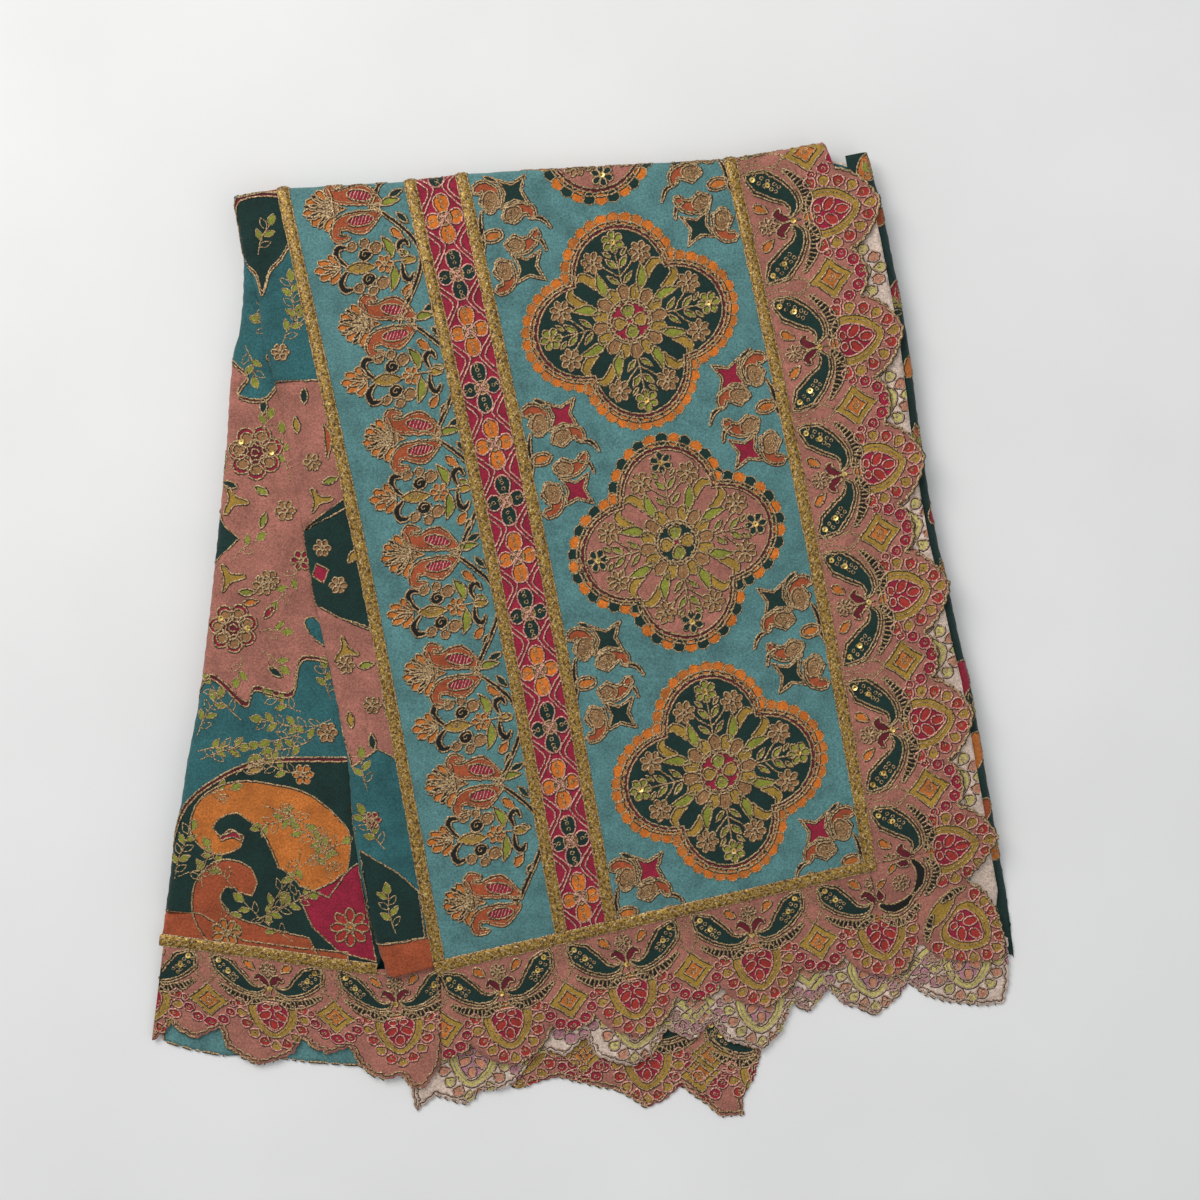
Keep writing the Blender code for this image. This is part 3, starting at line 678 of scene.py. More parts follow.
def bush_tulip(work):
    """The double paisley bush, with a fan of petals at its foot."""
    for x, y, color in ((-9.4, 12.2, "black"), (-14.2, 10.2, "orange"), (-17.2, 7.4, "black"),
                        (-20.4, 4.0, "orange"), (-21.2, 0.6, "black"), (-21.8, -3.4, "orange"),
                        (-19.6, -6.6, "black"), (-16.6, -10.2, "orange"), (-12.8, -12.2, "black"),
                        (-7.8, -14.0, "orange")):
        work.patch(petal((-4.5, -1.0), (x, y), 5.4 if color == "orange" else 3.4), color)
    for path, heart, lean in (([(0, 13.6), (-5.6, 14), (-6.4, 8.8), (1, 6.6), (11, 8.2), (22, 3.2)],
                               (10.6, 7.4), -8.0),
                              ([(4.6, -17), (-1.8, -17.6), (-2.6, -11.6), (3, -8), (12, -7.8), (22, -2.2)],
                               (11.4, -7.0), 10.0)):
        work.patch(swell(path, [1.4, 2.8, 3.4, 4.8, 7.2, 2.0]), "rust")
        work.line(swell(path, [0.4, 1.4, 1.9, 3.4, 5.5, 1.0]), "gold", FINE)
        work.patch(oval(*heart, 7.6, 3.3, lean), "crimson")
        for share in (-0.7, -0.42, -0.14, 0.14, 0.42, 0.7):
            x, y = heart[0] + 7 * share, heart[1] + 7 * share * math.tan(math.radians(lean))
            work.line([(x - 0.8, y - 2.3), (x + 0.8, y + 2.3)], "pink", FINE)
    work.patch(oval(-5.5, -1, 4.2, 4.6, count=12), "beige")
    spiral(work, -5.5, -1, 3.0, 3.2)
    work.patch([(-2.0, 1.6), (3.4, -0.6), (-2.0, -2.8)], "orange")
    work.patch([(16.5, 2.0), (23.5, 3.0), (20.5, -2.4)], "black")


def bush_plant(work):
    """The small plant between two tulips."""
    for tip in ((-17.3, 7.4), (-23.5, 3.4), (-25.5, -1.8), (-22, -6.6), (-15.5, -9.0)):
        work.patch(petal((-10.0, 0.0), tip, 4.8), "orange")
    for path in ([(-6.4, 1), (-12.4, 6.2), (-11.6, 11.4), (-6.8, 11.6)],
                 [(-6.0, -2), (-9.8, -8.0), (-7.2, -12.8), (-2.4, -11.6)]):
        work.patch(swell(path, [0.8, 1.8, 1.8, 0.8]), "black")
    work.patch(leaf((-7.5, -0.4), (10, 1.6), 7.0), "mustard")
    spiral(work, 1.0, 0.8, 4.6, 1.9, 5.0)
    for x, y, radius, color in ((-3.8, 12.6, 3.2, "beige"), (0.6, -11.2, 3.2, "beige"),
                                (3.0, 14.8, 2.8, "beige"), (8.4, -12.6, 3.0, "beige"),
                                (3.6, 8.0, 4.2, "black"), (6.0, -6.0, 4.2, "black"),
                                (9.6, 12.2, 4.0, "beige"), (13.8, -7.6, 4.0, "beige")):
        work.patch(oval(x, y, radius, radius * 0.85, 40, 10), color)
        spiral(work, x, y, radius * 0.62, radius * 0.5, 40.0, 1)
    flower(work, 14.7, 3.0, 5.4, 6, "orange", "mustard")
    work.patch(leaf((19.3, 6.4), (12.5, 19.0), 5.6, -1.5), "lime")
    work.patch(leaf((19.6, 3), (18.6, -13.0), 5.6, 1.5), "lime")
    work.patch(oval(28.6, 5.4, 4.2, 2.3, 10, 10), "mustard")
    work.patch(swell([(25, 7.4), (22.6, 13.2), (26, 16.6), (28.6, 13)], [0.8, 1.6, 1.6, 0.6]), "black")
    work.patch(swell([(25, 3), (25.8, -3.8), (29.5, -6.2), (31.6, -2)], [0.8, 1.6, 1.6, 0.6]), "black")
    work.patch(petal((25.8, 17.2), (18.0, 23.4), 4.6), "orange")
    work.patch(petal((30.2, -8), (25.4, -15.2), 4.6), "orange")
    work.line([(18, 4.2), (27, 5.4)])


def bush_vine(work):
    """The vine that bows from one tulip to the next, with its leaves."""
    path = [(18.8, 0.6), (29, -6.2), (39, -14.6), (45.3, -24.3), (45.6, -33.0), (43.1, -42.2), (39, -52),
            (34.8, -61.6), (33.5, -66.5)]
    work.patch(swell(path, [0.6] + [1.1] * 7 + [0.6]), "black", "gold", BAR_WIDTH)
    work.patch(leaf((21.5, 2.0), (34, 5.2), 4.8, 0.8), "lime")
    work.patch(leaf((27, 6.4), (35.5, 11.5), 3.8), "green")
    work.patch(leaf((31.5, -2.0), (38.5, -8.5), 3.6), "green")
    work.patch(leaf((42.0, -12.5), (44.6, -4.5), 3.4), "green")
    work.patch(leaf((39.0, -26.0), (33.0, -24.0), 3.0), "lime")
    work.patch(leaf((40.5, -46.0), (36.6, -52), 3.0), "green")


def cross(work, color):
    """A cross with rounded arms, along the band."""
    reaches = ((0, 11.0), (180, 11.0), (90, 15), (270, 15))
    arms = [(work.at(0, 0, degrees), reach) for degrees, reach in reaches]
    for arm, reach in arms:
        arm.patch(bulge((0.5, 0), (reach, 0), 9.0, 0.6, False, count=8), color, "pink")
    for arm, reach in arms:
        loops(arm, [(4.4, 0.6), (reach * 0.86, -0.6)], (0.0,), 3.0, 1.0)
    work.patch(oval(0, 0, 4.0, 4.0, count=12), "beige")
    spiral(work, 0, 0, 3.0, 3.0)


def spray(work, leaves, length, lean=38.0, size=6.6):
    """A stem with pairs of small leaves and one at its tip, growing along +x."""
    work.line(curve([(0, 0), (length * 0.5, 1.6), (length, 0)]), width=FINE)
    for i in range(leaves):
        x = length * (i + 0.7) / (leaves + 0.7)
        for side in (-1, 1):
            start = x + (4.0 if side > 0 else 0.0)
            reach = size * math.cos(math.radians(lean))
            rise = size * math.sin(math.radians(lean)) * side * 1.3
            shape = leaf((start, 1.0), (start + reach, rise + 1.0), 3.4)
            if (i + (side > 0)) % 2:
                work.patch(shape, "lime", "gold", FINE)
            else:
                work.line(shape + shape[:1], width=FINE)
    work.patch(leaf((length, 0), (length + size * 1.15, 0), 4.6), "lime", "gold", FINE)


def three_point(work):
    work.patch(ring([(0, 9.5), (2, 3), (8.5, -3.5), (7.5, -5.5), (0, -3.4), (-7, -7), (-8.4, -4.6),
                     (-2.6, 1.8), (-1.6, 9)], 2.2), "mustard")


def rosette(work, radius=14.0):
    """A wide flower with scalloped double petals round a crimson heart."""
    for i in range(7):
        angle = math.tau * i / 7 + 0.3
        x, y = 0.64 * radius * math.cos(angle), 0.64 * radius * math.sin(angle)
        work.patch(oval(x, y, 0.37 * radius, 0.34 * radius, math.degrees(angle), 12), "crimson")
        work.patch(oval(x * 0.98, y * 0.98, 0.22 * radius, 0.2 * radius, 0, 9), "beige")
    work.patch(ring([(0.4 * radius * math.cos(a) * (1.0 + 0.2 * math.cos(4 * a)),
                      0.4 * radius * math.sin(a) * (1.0 + 0.2 * math.cos(4 * a)))
                     for a in (math.tau * k / 16 for k in range(16))]), "maroon")
    work.line(oval(0, 0, 2.2, 2.2, count=8), "gold")
    work.dots([(0.6 * radius, 0), (-0.5 * radius, 0.4 * radius)])


# Heights of the layers


class Ground:
    """The smooth height of a layer's upper face, read off its solids."""

    def __init__(self, names, seed):
        self.seed = seed
        verts, faces = [], []
        for name in names:
            mesh = frame["nodes"][name].data
            base = len(verts)
            verts += [v.co.copy() for v in mesh.vertices]
            faces += [[base + i for i in p.vertices] for p in mesh.polygons]
        tree = BVHTree.FromPolygons(verts, faces)
        columns = int((HEIGHT_X[1] - HEIGHT_X[0]) / HEIGHT_STEP) + 1
        rows = int((HEIGHT_Y[1] - HEIGHT_Y[0]) / HEIGHT_STEP) + 1
        heights = np.full((rows, columns), np.nan)
        for row in range(rows):
            for column in range(columns):
                x = HEIGHT_X[0] + column * HEIGHT_STEP
                y = HEIGHT_Y[0] + row * HEIGHT_STEP
                start = world(x, y, 100.0)
                hit, normal, *_ = tree.ray_cast(start, Vector((0.0, 0.0, -1.0)))
                if hit is not None and normal.z > 0.93:
                    heights[row, column] = hit.z / METRES_PER_MM
        self.heights = self.smoothed(self.filled(heights), 3)

    @staticmethod
    def neighbours(heights):
        padded = np.pad(heights, 1, mode="edge")
        return np.stack([padded[1 + i:padded.shape[0] - 1 + i, 1 + j:padded.shape[1] - 1 + j]
                         for i in (-1, 0, 1) for j in (-1, 0, 1)])

    def filled(self, heights):
        """Carries the known heights out over the places that no solid covers."""
        while np.isnan(heights).any():
            around = self.neighbours(heights)
            known = ~np.isnan(around)
            total = np.where(known, around, 0.0).sum(axis=0)
            count = known.sum(axis=0)
            gap = np.isnan(heights) & (count > 0)
            heights = np.where(gap, total / np.maximum(count, 1), heights)
        return heights

    def smoothed(self, heights, passes):
        for _ in range(passes):
            heights = self.neighbours(heights).mean(axis=0)
        return heights

    def base(self, x, y):
        column = (x - HEIGHT_X[0]) / HEIGHT_STEP
        row = (y - HEIGHT_Y[0]) / HEIGHT_STEP
        column = min(max(column, 0.0), self.heights.shape[1] - 1.001)
        row = min(max(row, 0.0), self.heights.shape[0] - 1.001)
        i, j = int(row), int(column)
        low = mix(self.heights[i, j], self.heights[i, j + 1], column - j)
        high = mix(self.heights[i + 1, j], self.heights[i + 1, j + 1], column - j)
        return mix(low, high, row - i)

    def __call__(self, x, y):
        return self.base(x, y) + relief(x, y, self.seed)


# Soft folds: start, end, height (a trough is negative) and half width
CREASES = [
    ((-160, 60), (-135, -150), -0.9, 9),
    ((-190, 40), (-205, -60), 0.6, 12),
    ((-215, -150), (-185, -240), 0.8, 9),
    ((-120, -200), (-118, -250), -0.8, 8),
    ((-30, -190), (-20, -235), 0.8, 10),
    ((50, -175), (62, -225), -0.8, 10),
    ((120, -160), (140, -205), 0.9, 10),
    ((205, -60), (180, -66), 0.8, 9),
    ((190, 60), (160, 52), -0.7, 9),
    ((165, 170), (135, 166), 0.7, 10),
    ((-60, 180), (-20, 20), 0.5, 16),
    ((60, 120), (110, -60), -0.5, 18),
    ((0, 230), (20, 60), -0.4, 14),
    ((-110, 120), (-80, -80), 0.4, 14),
    ((-180, 200), (-172, 120), -0.6, 8),
]


def relief(x, y, seed):
    """The fine puckers of stitched cloth and its soft folds."""
    height = 0.42 * noise.noise(Vector((x / 13.0, y / 13.0, seed)))
    height += 0.2 * noise.noise(Vector((x / 5.5, y / 5.5, seed + 7.0)))
    for (ax, ay), (bx, by), size, half_width in CREASES:
        dx, dy = bx - ax, by - ay
        share = ((x - ax) * dx + (y - ay) * dy) / (dx * dx + dy * dy)
        if -0.25 < share < 1.25:
            off = (x - ax - share * dx, y - ay - share * dy)
            across = math.hypot(*off) / half_width
            if across < 2.5:
                end = min(1.0, (1.25 - share) * 4.0, (share + 0.25) * 4.0)
                height += size * end * math.exp(-across * across)
    return height


def world(x, y, z):
    return Vector((x + CENTRING.x, y + CENTRING.y, z)) * METRES_PER_MM


def bend(distance, radius, turn=90.0):
    """How far out and how far down cloth gets, that goes on past the start of a rounded fold."""
    if distance <= 0.0:
        return 0.0, 0.0
    angle = min(distance / radius, math.radians(turn))
    straight = distance - angle * radius
    reach = radius * math.sin(angle) + straight * math.cos(angle)
    return reach, radius * (1.0 - math.cos(angle)) + straight * math.sin(angle)


TUCK_LINE = sorted((panel_place(x + TUCK_ROLL, y).y, panel_place(x + TUCK_ROLL, y).x)
                   for x, y in PANEL_LEFT_EDGE)


def panel_surface(ground):
    """Places (left, up) of the end panel in space, round its top fold and its tuck."""
    def place(left, up):
        over, down = bend(up - (top_length(left) - TOP_ROLL), TOP_ROLL)
        edge = table_value(TUCK_LINE, up)
        beside, dip = bend(left - edge, TUCK_ROLL, TUCK_TURN)
        point = panel_point(min(left, edge), min(up, top_length(left) - TOP_ROLL))
        height = ground(point.x, point.y) - down - dip
        point = point + BAND_UP * over + HEM_LEFT * beside
        return world(point.x, point.y, max(height, LOWEST))
    return place


def plan_surface(ground, fold=None, side=0.0):
    """Places plan (x, y) in space, round a folded edge at the left (-1) or at the right (1)."""
    def place(x, y):
        if fold is None:
            return world(x, y, max(ground(x, y), LOWEST))
        line = edge_x(fold, y) - side * SIDE_ROLL
        over, down = bend((x - line) * side, SIDE_ROLL)
        base = line if (x - line) * side > 0.0 else x
        return world(base + side * over, y, max(ground(base, y) - down, LOWEST))
    return place


# Materials


def linear(color):
    parts = [c / 255.0 for c in color]
    return tuple(c / 12.92 if c <= 0.04045 else ((c + 0.055) / 1.055) ** 2.4 for c in parts)


def shaded(color, share):
    return (*[min(max(c * share, 0.0), 1.0) for c in linear(color)], 1.0)


def new_material(name):
    material = bpy.data.materials.new(name)
    material.use_nodes = True
    nodes = material.node_tree.nodes
    return material, nodes, material.node_tree.links, nodes["Principled BSDF"]


def noise_node(nodes, links, where, scale, detail, roughness=0.5):
    node = nodes.new("ShaderNodeTexNoise")
    node.inputs["Scale"].default_value = scale
    node.inputs["Detail"].default_value = detail
    node.inputs["Roughness"].default_value = roughness
    links.new(where.outputs["Object"], node.inputs["Vector"])
    return node


def ramp_node(nodes, links, source, stops):
    node = nodes.new("ShaderNodeValToRGB")
    elements = node.color_ramp.elements
    while len(elements) < len(stops):
        elements.new(0.5)
    for element, (place, color) in zip(elements, stops):
        element.position = place
        element.color = color
    links.new(source, node.inputs["Fac"])
    return node


def bump_node(nodes, links, height, strength, distance, below=None):
    node = nodes.new("ShaderNodeBump")
    node.inputs["Strength"].default_value = strength
    node.inputs["Distance"].default_value = distance
    links.new(height, node.inputs["Height"])
    if below:
        links.new(below.outputs["Normal"], node.inputs["Normal"])
    return node


def cloth_material(name, color):
    """Fine woven cloth: mottled print, grain of the threads, soft crepe bumps and a little sheen."""
    material, nodes, links, shader = new_material(name)
    where = nodes.new("ShaderNodeTexCoord")
    cloud = noise_node(nodes, links, where, 70.0, 4.0, 0.6)
    grain = noise_node(nodes, links, where, 900.0, 3.0, 0.7)
    tint = ramp_node(nodes, links, cloud.outputs["Fac"],
                     [(0.32, shaded(color, 0.78)), (0.5, shaded(color, 1.0)), (0.68, shaded(color, 1.2))])
    fleck = ramp_node(nodes, links, grain.outputs["Fac"],
                      [(0.34, (0.62, 0.62, 0.62, 1.0)), (0.66, (1.24, 1.24, 1.24, 1.0))])
    blend = nodes.new("ShaderNodeMix")
    blend.data_type = "RGBA"
    blend.blend_type = "MULTIPLY"
    blend.inputs["Factor"].default_value = 1.0
    links.new(tint.outputs["Color"], blend.inputs["A"])
    links.new(fleck.outputs["Color"], blend.inputs["B"])
    links.new(blend.outputs["Result"], shader.inputs["Base Color"])
    crepe = noise_node(nodes, links, where, 320.0, 3.0, 0.6)
    weave = nodes.new("ShaderNodeTexWave")
    weave.inputs["Scale"].default_value = 520.0
    weave.inputs["Distortion"].default_value = 1.5
    links.new(where.outputs["Object"], weave.inputs["Vector"])
    soft = bump_node(nodes, links, crepe.outputs["Fac"], 0.55, 0.0009)
    fine = bump_node(nodes, links, weave.outputs["Fac"], 0.3, 0.0002, soft)
    links.new(fine.outputs["Normal"], shader.inputs["Normal"])
    shader.inputs["Roughness"].default_value = 0.82
    shader.inputs["Specular IOR Level"].default_value = 0.25
    shader.inputs["Sheen Weight"].default_value = 0.12
    shader.inputs["Sheen Roughness"].default_value = 0.5
    return material


def thread_material(name, dark, middle, light, metallic=0.35, scale=1100.0):
    """Metal-wound thread: painted shade in the gaps, a warm body and painted bright glints, all finer than a
    stitch.
    """
    material, nodes, links, shader = new_material(name)
    where = nodes.new("ShaderNodeTexCoord")
    glint = noise_node(nodes, links, where, scale, 2.0, 0.6)
    # The ramp paints shade into the darkest noise and glints into the brightest
    tint = ramp_node(nodes, links, glint.outputs["Fac"],
                     [(0.4, shaded(dark, 1.0)), (0.5, shaded(middle, 1.0)), (0.6, shaded(middle, 1.1)),
                      (0.7, shaded(light, 1.0))])
    links.new(tint.outputs["Color"], shader.inputs["Base Color"])
    bump = bump_node(nodes, links, glint.outputs["Fac"], 0.6, 0.0003)
    links.new(bump.outputs["Normal"], shader.inputs["Normal"])
    shader.inputs["Roughness"].default_value = 0.42
    shader.inputs["Metallic"].default_value = metallic
    return material


MATERIALS = {name: cloth_material("cloth_" + name, color) for name, color in PALETTE.items()}
MATERIALS |= {name: thread_material("thread_" + name, *colors) for name, colors in THREADS.items()}
# The tape and the sequins paint shade and glints into their gold with the same noise
MATERIALS["tape"] = thread_material("gold_tape_painted_glints", (80, 56, 18), (150, 116, 46), (224, 200, 116),
                                    metallic=0.45, scale=620.0)
MATERIALS["sequin"] = thread_material("sequin_gold", (150, 116, 50), (222, 188, 106), (255, 244, 206),
                                      metallic=0.85, scale=500.0)


# Meshes


def mesh_object(name, verts, faces, slots, face_slots, smooth=True):
    mesh = bpy.data.meshes.new(name)
    mesh.from_pydata(verts, [], faces)
    for slot in slots:
        mesh.materials.append(MATERIALS[slot])
    mesh.polygons.foreach_set("material_index", face_slots)
    mesh.polygons.foreach_set("use_smooth", [smooth] * len(faces))
    mesh.update()
    piece = bpy.data.objects.new(name, mesh)
    bpy.context.scene.collection.objects.link(piece)
    return piece


def lattice_points(outline):
    xs = [p[0] for p in outline]
    ys = [p[1] for p in outline]
    points = []
    row_height = LATTICE * 0.866
    for row in range(math.ceil((max(ys) - min(ys)) / row_height)):
        for column in range(math.ceil((max(xs) - min(xs)) / LATTICE)):
            x = min(xs) + (column + 0.5 * (row % 2) + 0.3) * LATTICE
            points.append((x, min(ys) + (row + 0.4) * row_height))
    mask = inside_mask(outline, points)
    return [Vector(p) for p, is_in in zip(points, mask) if is_in]


def doubled_area(points):
    """Twice the area inside a line of points, below zero where it runs clockwise."""
    return sum(a.x * b.y - b.x * a.y for a, b in zip(points, points[1:] + points[:1]))


def anticlockwise(shape):
    points = [Vector((p[0], p[1])) for p in shape]
    return points if doubled_area(points) > 0 else points[::-1]


def lay_cloth(name, outline, work, ground_color, place):
    """Cuts the flat pattern along its patches and lays it on its layer, as a thin shell."""
    points = []
    rims = []
    for shape in [outline] + [shape for shape, _ in work.patches]:
        rims.append(list(range(len(points), len(points) + len(shape))))
        points += anticlockwise(shape)
    points += lattice_points(outline)
    flat, _, faces, _, _, origins = delaunay_2d_cdt(points, [], rims, 1, 1.0e-4)
    slots = [ground_color] + sorted({color for _, color in work.patches} - {ground_color})
    used = {}
    verts, kept, face_slots = [], [], []
    for face, origin in zip(faces, origins):
        if 0 not in origin:
            continue
        top = max(origin)
        face_slots.append(0 if top == 0 else slots.index(work.patches[top - 1][1]))
        row = []
        for i in face:
            if i not in used:
                used[i] = len(verts)
                verts.append(place(flat[i].x, flat[i].y))
            row.append(used[i])
        kept.append(row)
    if sum((verts[f[1]] - verts[f[0]]).cross(verts[f[2]] - verts[f[0]]).z for f in kept) < 0:
        kept = [face[::-1] for face in kept]
    tree = BVHTree.FromPolygons(verts, kept)
    piece = mesh_object(name, verts, kept, slots, face_slots)
    shell = piece.modifiers.new("shell", "SOLIDIFY")
    shell.thickness = SHELL * METRES_PER_MM
    shell.offset = -1.0
    return piece, tree


def seated(tree, point):
    """The nearest point of the cloth, with the way up from it."""
    spot, normal, *_ = tree.find_nearest(point)
    return spot, normal


def lay_threads(name, outline, work, place, tree):
    """Thread lines as narrow ridges on the cloth; all but the finest have a dark strip of painted shadow at
    the foot of one side, the side away from the light.
    """
    # The last slot is the umber of the painted shadow strips
    slots = sorted({thread for _, thread, _ in work.threads}) + ["umber"]
    chance = random.Random(name)
    verts, faces, face_slots = [], [], []
    lines = [spaced(points, THREAD_STEP) for points, *_ in work.threads]
    masks = inside_mask(outline, [p for line in lines for p in line])
    done = 0
    for line, (_, thread, width) in zip(lines, work.threads):
        mask = masks[done:done + len(line)]
        done += len(line)
        shaken = [p + Vector((chance.gauss(0, THREAD_SHAKE), chance.gauss(0, THREAD_SHAKE))) for p in line]
        previous = None
        spots = [seated(tree, place(p.x, p.y)) if is_in else None for p, is_in in zip(shaken, mask)]
        for i, spot in enumerate(spots):
            if spot is None:
                previous = None
                continue
            ahead = spots[i + 1] if i + 1 < len(spots) else None
            behind = spots[i - 1] if i > 0 else None
            start, end = (behind or spot)[0], (ahead or spot)[0]
            along = end - start
            if along.length < 1e-7:
                previous = None
                continue
            normal = spot[1]
            half = width * chance.uniform(0.85, 1.15) / 2 * METRES_PER_MM
            across = along.normalized().cross(normal)
            # The painted shadow goes on the side away from the window lamp at the upper left
            side = 1 if across.x > across.y else -1
            rise = normal * THREAD_HEIGHT * chance.uniform(0.8, 1.2) * METRES_PER_MM
            foot = normal * THREAD_FOOT * METRES_PER_MM
            # Painted shadow: a dark strip laid flat beside the thread, where its shadow would fall
            shade = across * side * (half + THREAD_SHADE * METRES_PER_MM) + foot / 2
            row = len(verts)
            verts += [spot[0] - across * half + foot, spot[0] + rise, spot[0] + across * half + foot,
                      spot[0] + shade]
            if previous is not None:
                before, last_side = previous
                faces += [(before, row, row + 1, before + 1), (before + 1, row + 1, row + 2, before + 2)]
                face_slots += [slots.index(thread)] * 2
                if last_side == side and width > FINE:
                    right = (before + 2, row + 2, row + 3, before + 3)
                    left = (before + 3, row + 3, row, before)
                    faces.append(right if side > 0 else left)
                    face_slots.append(len(slots) - 1)
            previous = (row, side)
    return mesh_object(name, verts, faces, slots, face_slots)


def lay_sequins(name, outline, work, place, tree):
    """Small cupped rings, each sewn down through its hole."""
    sides, hole, radius = 10, 0.5, 1.65
    chance = random.Random(name)
    verts, faces = [], []
    mask = inside_mask(outline, work.sequins)
    for point in [p for p, is_in in zip(work.sequins, mask) if is_in]:
        spot, normal = seated(tree, place(point.x, point.y))
        lean = Vector((chance.gauss(0, 0.12), chance.gauss(0, 0.12), 0.0))
        up = (normal + lean).normalized()
        aside = up.orthogonal().normalized()
        other = up.cross(aside)
        base = len(verts)
        for size, rise in ((hole, 0.55), (radius, 0.75)):
            for k in range(sides):
                angle = math.tau * k / sides
                reach = (aside * math.cos(angle) + other * math.sin(angle)) * size
                verts.append(spot + (reach + up * rise) * METRES_PER_MM)
        for k in range(sides):
            nxt = (k + 1) % sides
            faces.append((base + k, base + sides + k, base + sides + nxt, base + nxt))
    return mesh_object(name, verts, faces, ["sequin"], [0] * len(faces), False)


def cut_size(outline):
    """Width, length and area of a flat cut, by the smallest box round it."""
    points = [Vector((p[0], p[1])) * METRES_PER_MM for p in outline]
    area = abs(doubled_area(points)) / 2
    best = None
    for degrees in range(0, 180, 3):
        turn = math.radians(degrees)
        along = [p.x * math.cos(turn) + p.y * math.sin(turn) for p in points]
        across = [p.y * math.cos(turn) - p.x * math.sin(turn) for p in points]
        size = (max(along) - min(along), max(across) - min(across))
        if best is None or size[0] * size[1] < best[0] * best[1]:
            best = size
    return sorted(best), area


def stretch(node, outline, work, ground_color, place, extra=()):
    """One stretch of cloth with its threads and sequins, in place of its solid."""
    piece, tree = lay_cloth(node + "_cloth", outline, work, ground_color, place)
    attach(piece, "root")
    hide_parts(node)
    trims = list(extra)
    if work.threads:
        trims.append(lay_threads(node + "_zari", outline, work, place, tree))
    if work.sequins:
        trims.append(lay_sequins(node + "_sequins", outline, work, place, tree))
    for trim in trims[len(extra):]:
        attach(trim, "root")
    size, area = cut_size(outline)
    min(area, size[0] * size[1])
    return piece


# A tape's section, as offset and rise, and its raised threads: phase, swing, slot and width
TAPE_STEP = 1.6
TAPE_WAVE = 4.2
TAPE_EDGE = 3.2
TAPE_PROFILE = [(-3.3, 0.25), (-2.6, 0.85), (-0.9, 1.05), (0.9, 1.05), (2.6, 0.85), (3.3, 0.25)]
TAPE_THREADS = [(0.0, 1.7, 1, 1.2), (math.pi, 1.7, 2, 1.2), (0.0, 0.0, 2, 0.9), (math.pi, 0.0, 2, 0.9)]


def lay_tape(node, line, place):
    """A gold tape along a line of the flat pattern, with a braid raised on it."""
    line = spaced(line, TAPE_STEP)
    verts, faces, face_slots = [], [], []
    chance = random.Random(node)

    def spot(i, offset, rise):
        before, after = line[max(i - 1, 0)], line[min(i + 1, len(line) - 1)]
        along = (after - before).normalized()
        across = Vector((along.y, -along.x))
        at = line[i] + across * offset
        middle = place(at.x, at.y)
        ahead = place(at.x + along.x, at.y + along.y)
        aside = place(at.x + across.x, at.y + across.y)
        normal = (aside - middle).cross(ahead - middle).normalized()
        return middle + normal * rise * METRES_PER_MM * upward

    upward = 1.0
    probe = spot(0, 0.0, 1.0) - spot(0, 0.0, 0.0)
    if probe.z < 0:
        upward = -1.0
    for i in range(len(line)):
        for offset, rise in TAPE_PROFILE:
            verts.append(spot(i, offset + chance.gauss(0, 0.1), rise + chance.gauss(0, 0.06)))
    width = len(TAPE_PROFILE)
    for i in range(len(line) - 1):
        for k in range(width - 1):
            a = i * width + k
            faces.append((a, a + 1, a + 1 + width, a + width))
            face_slots.append(0)
    for phase, swing, thread, size in TAPE_THREADS:
        edge = TAPE_EDGE if phase else -TAPE_EDGE
        low, rise = (0.95, 1.35) if swing else (0.2, 0.75)
        previous = None
        for i in range(len(line)):
            if swing:
                offset = swing * math.sin(i * TAPE_STEP / TAPE_WAVE * math.pi + phase)
            else:
                offset = edge + chance.gauss(0, 0.15)
            row = len(verts)
            verts += [spot(i, offset - size / 2, low), spot(i, offset, rise), spot(i, offset + size / 2, low)]
            if previous is not None:
                faces.append((previous, row, row + 1, previous + 1))
                faces.append((previous + 1, row + 1, row + 2, previous + 2))
                face_slots.extend([thread] * 2)
            previous = row
    piece = mesh_object(node + "_braid", verts, faces, ["tape", "yellow", "gold"], face_slots)
    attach(piece, "root")
    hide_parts(node)
    return piece


# The layers, from the floor up
LAYER_NODES = {
    1: ["right_fold", "lower_hem", "under_left"],
    2: ["reversed_hem_side", "reversed_hem_front"],
    3: ["left_panel", "left_border"],
    4: ["panel_strip", "bush_band", "cross_band", "medallion_band", "side_border", "hem_border",
        "corner_border"],
}
GROUNDS = {layer: Ground(names, 3.7 * layer) for layer, names in LAYER_NODES.items()}
PANEL = panel_surface(GROUNDS[4])
OVER_TOP = TOP_ROLL * math.pi / 2 + TOP_DROP


def band_outline(left_from, left_to, foot=0.0):
    """The flat outline of a lengthwise band, from its foot over the top fold."""
    right, left = left_from + SEAM, left_to - SEAM

    def end(place):
        return top_length(place) - TOP_ROLL + OVER_TOP
    corners = [(right, foot), (right, end(right)), (left, end(left)), (left, foot), (right, foot)]
    return spaced(corners)[:-1]


def build_medallion_band(tapes):
    work = Work()
    for pixel, green in MEDALLIONS_PX:
        place = panel_of(pixel)
        where = work.at(place.x, place.y)
        if green:
            quatrefoil(where, "green", ("bright_orange", "orange"), "crimson", "lime", "lime")
        else:
            quatrefoil(where, "rose", ("bright_orange", "green"), "green", "lime", "green")
    lean = math.degrees(math.atan2(-BAND_UP.x, BAND_UP.y))
    for i, up in enumerate(ORNAMENT_UPS):
        diamond = ("green", "crimson")[i % 2]
        ornament(work.at(ORNAMENT_INSET, up, -lean), diamond)
        ornament(work.at(MEDALLION_EDGE - ORNAMENT_INSET, up, lean, flip=True), diamond)
    stretch("medallion_band", band_outline(0.0, MEDALLION_EDGE), work, "teal", PANEL,
            tapes)


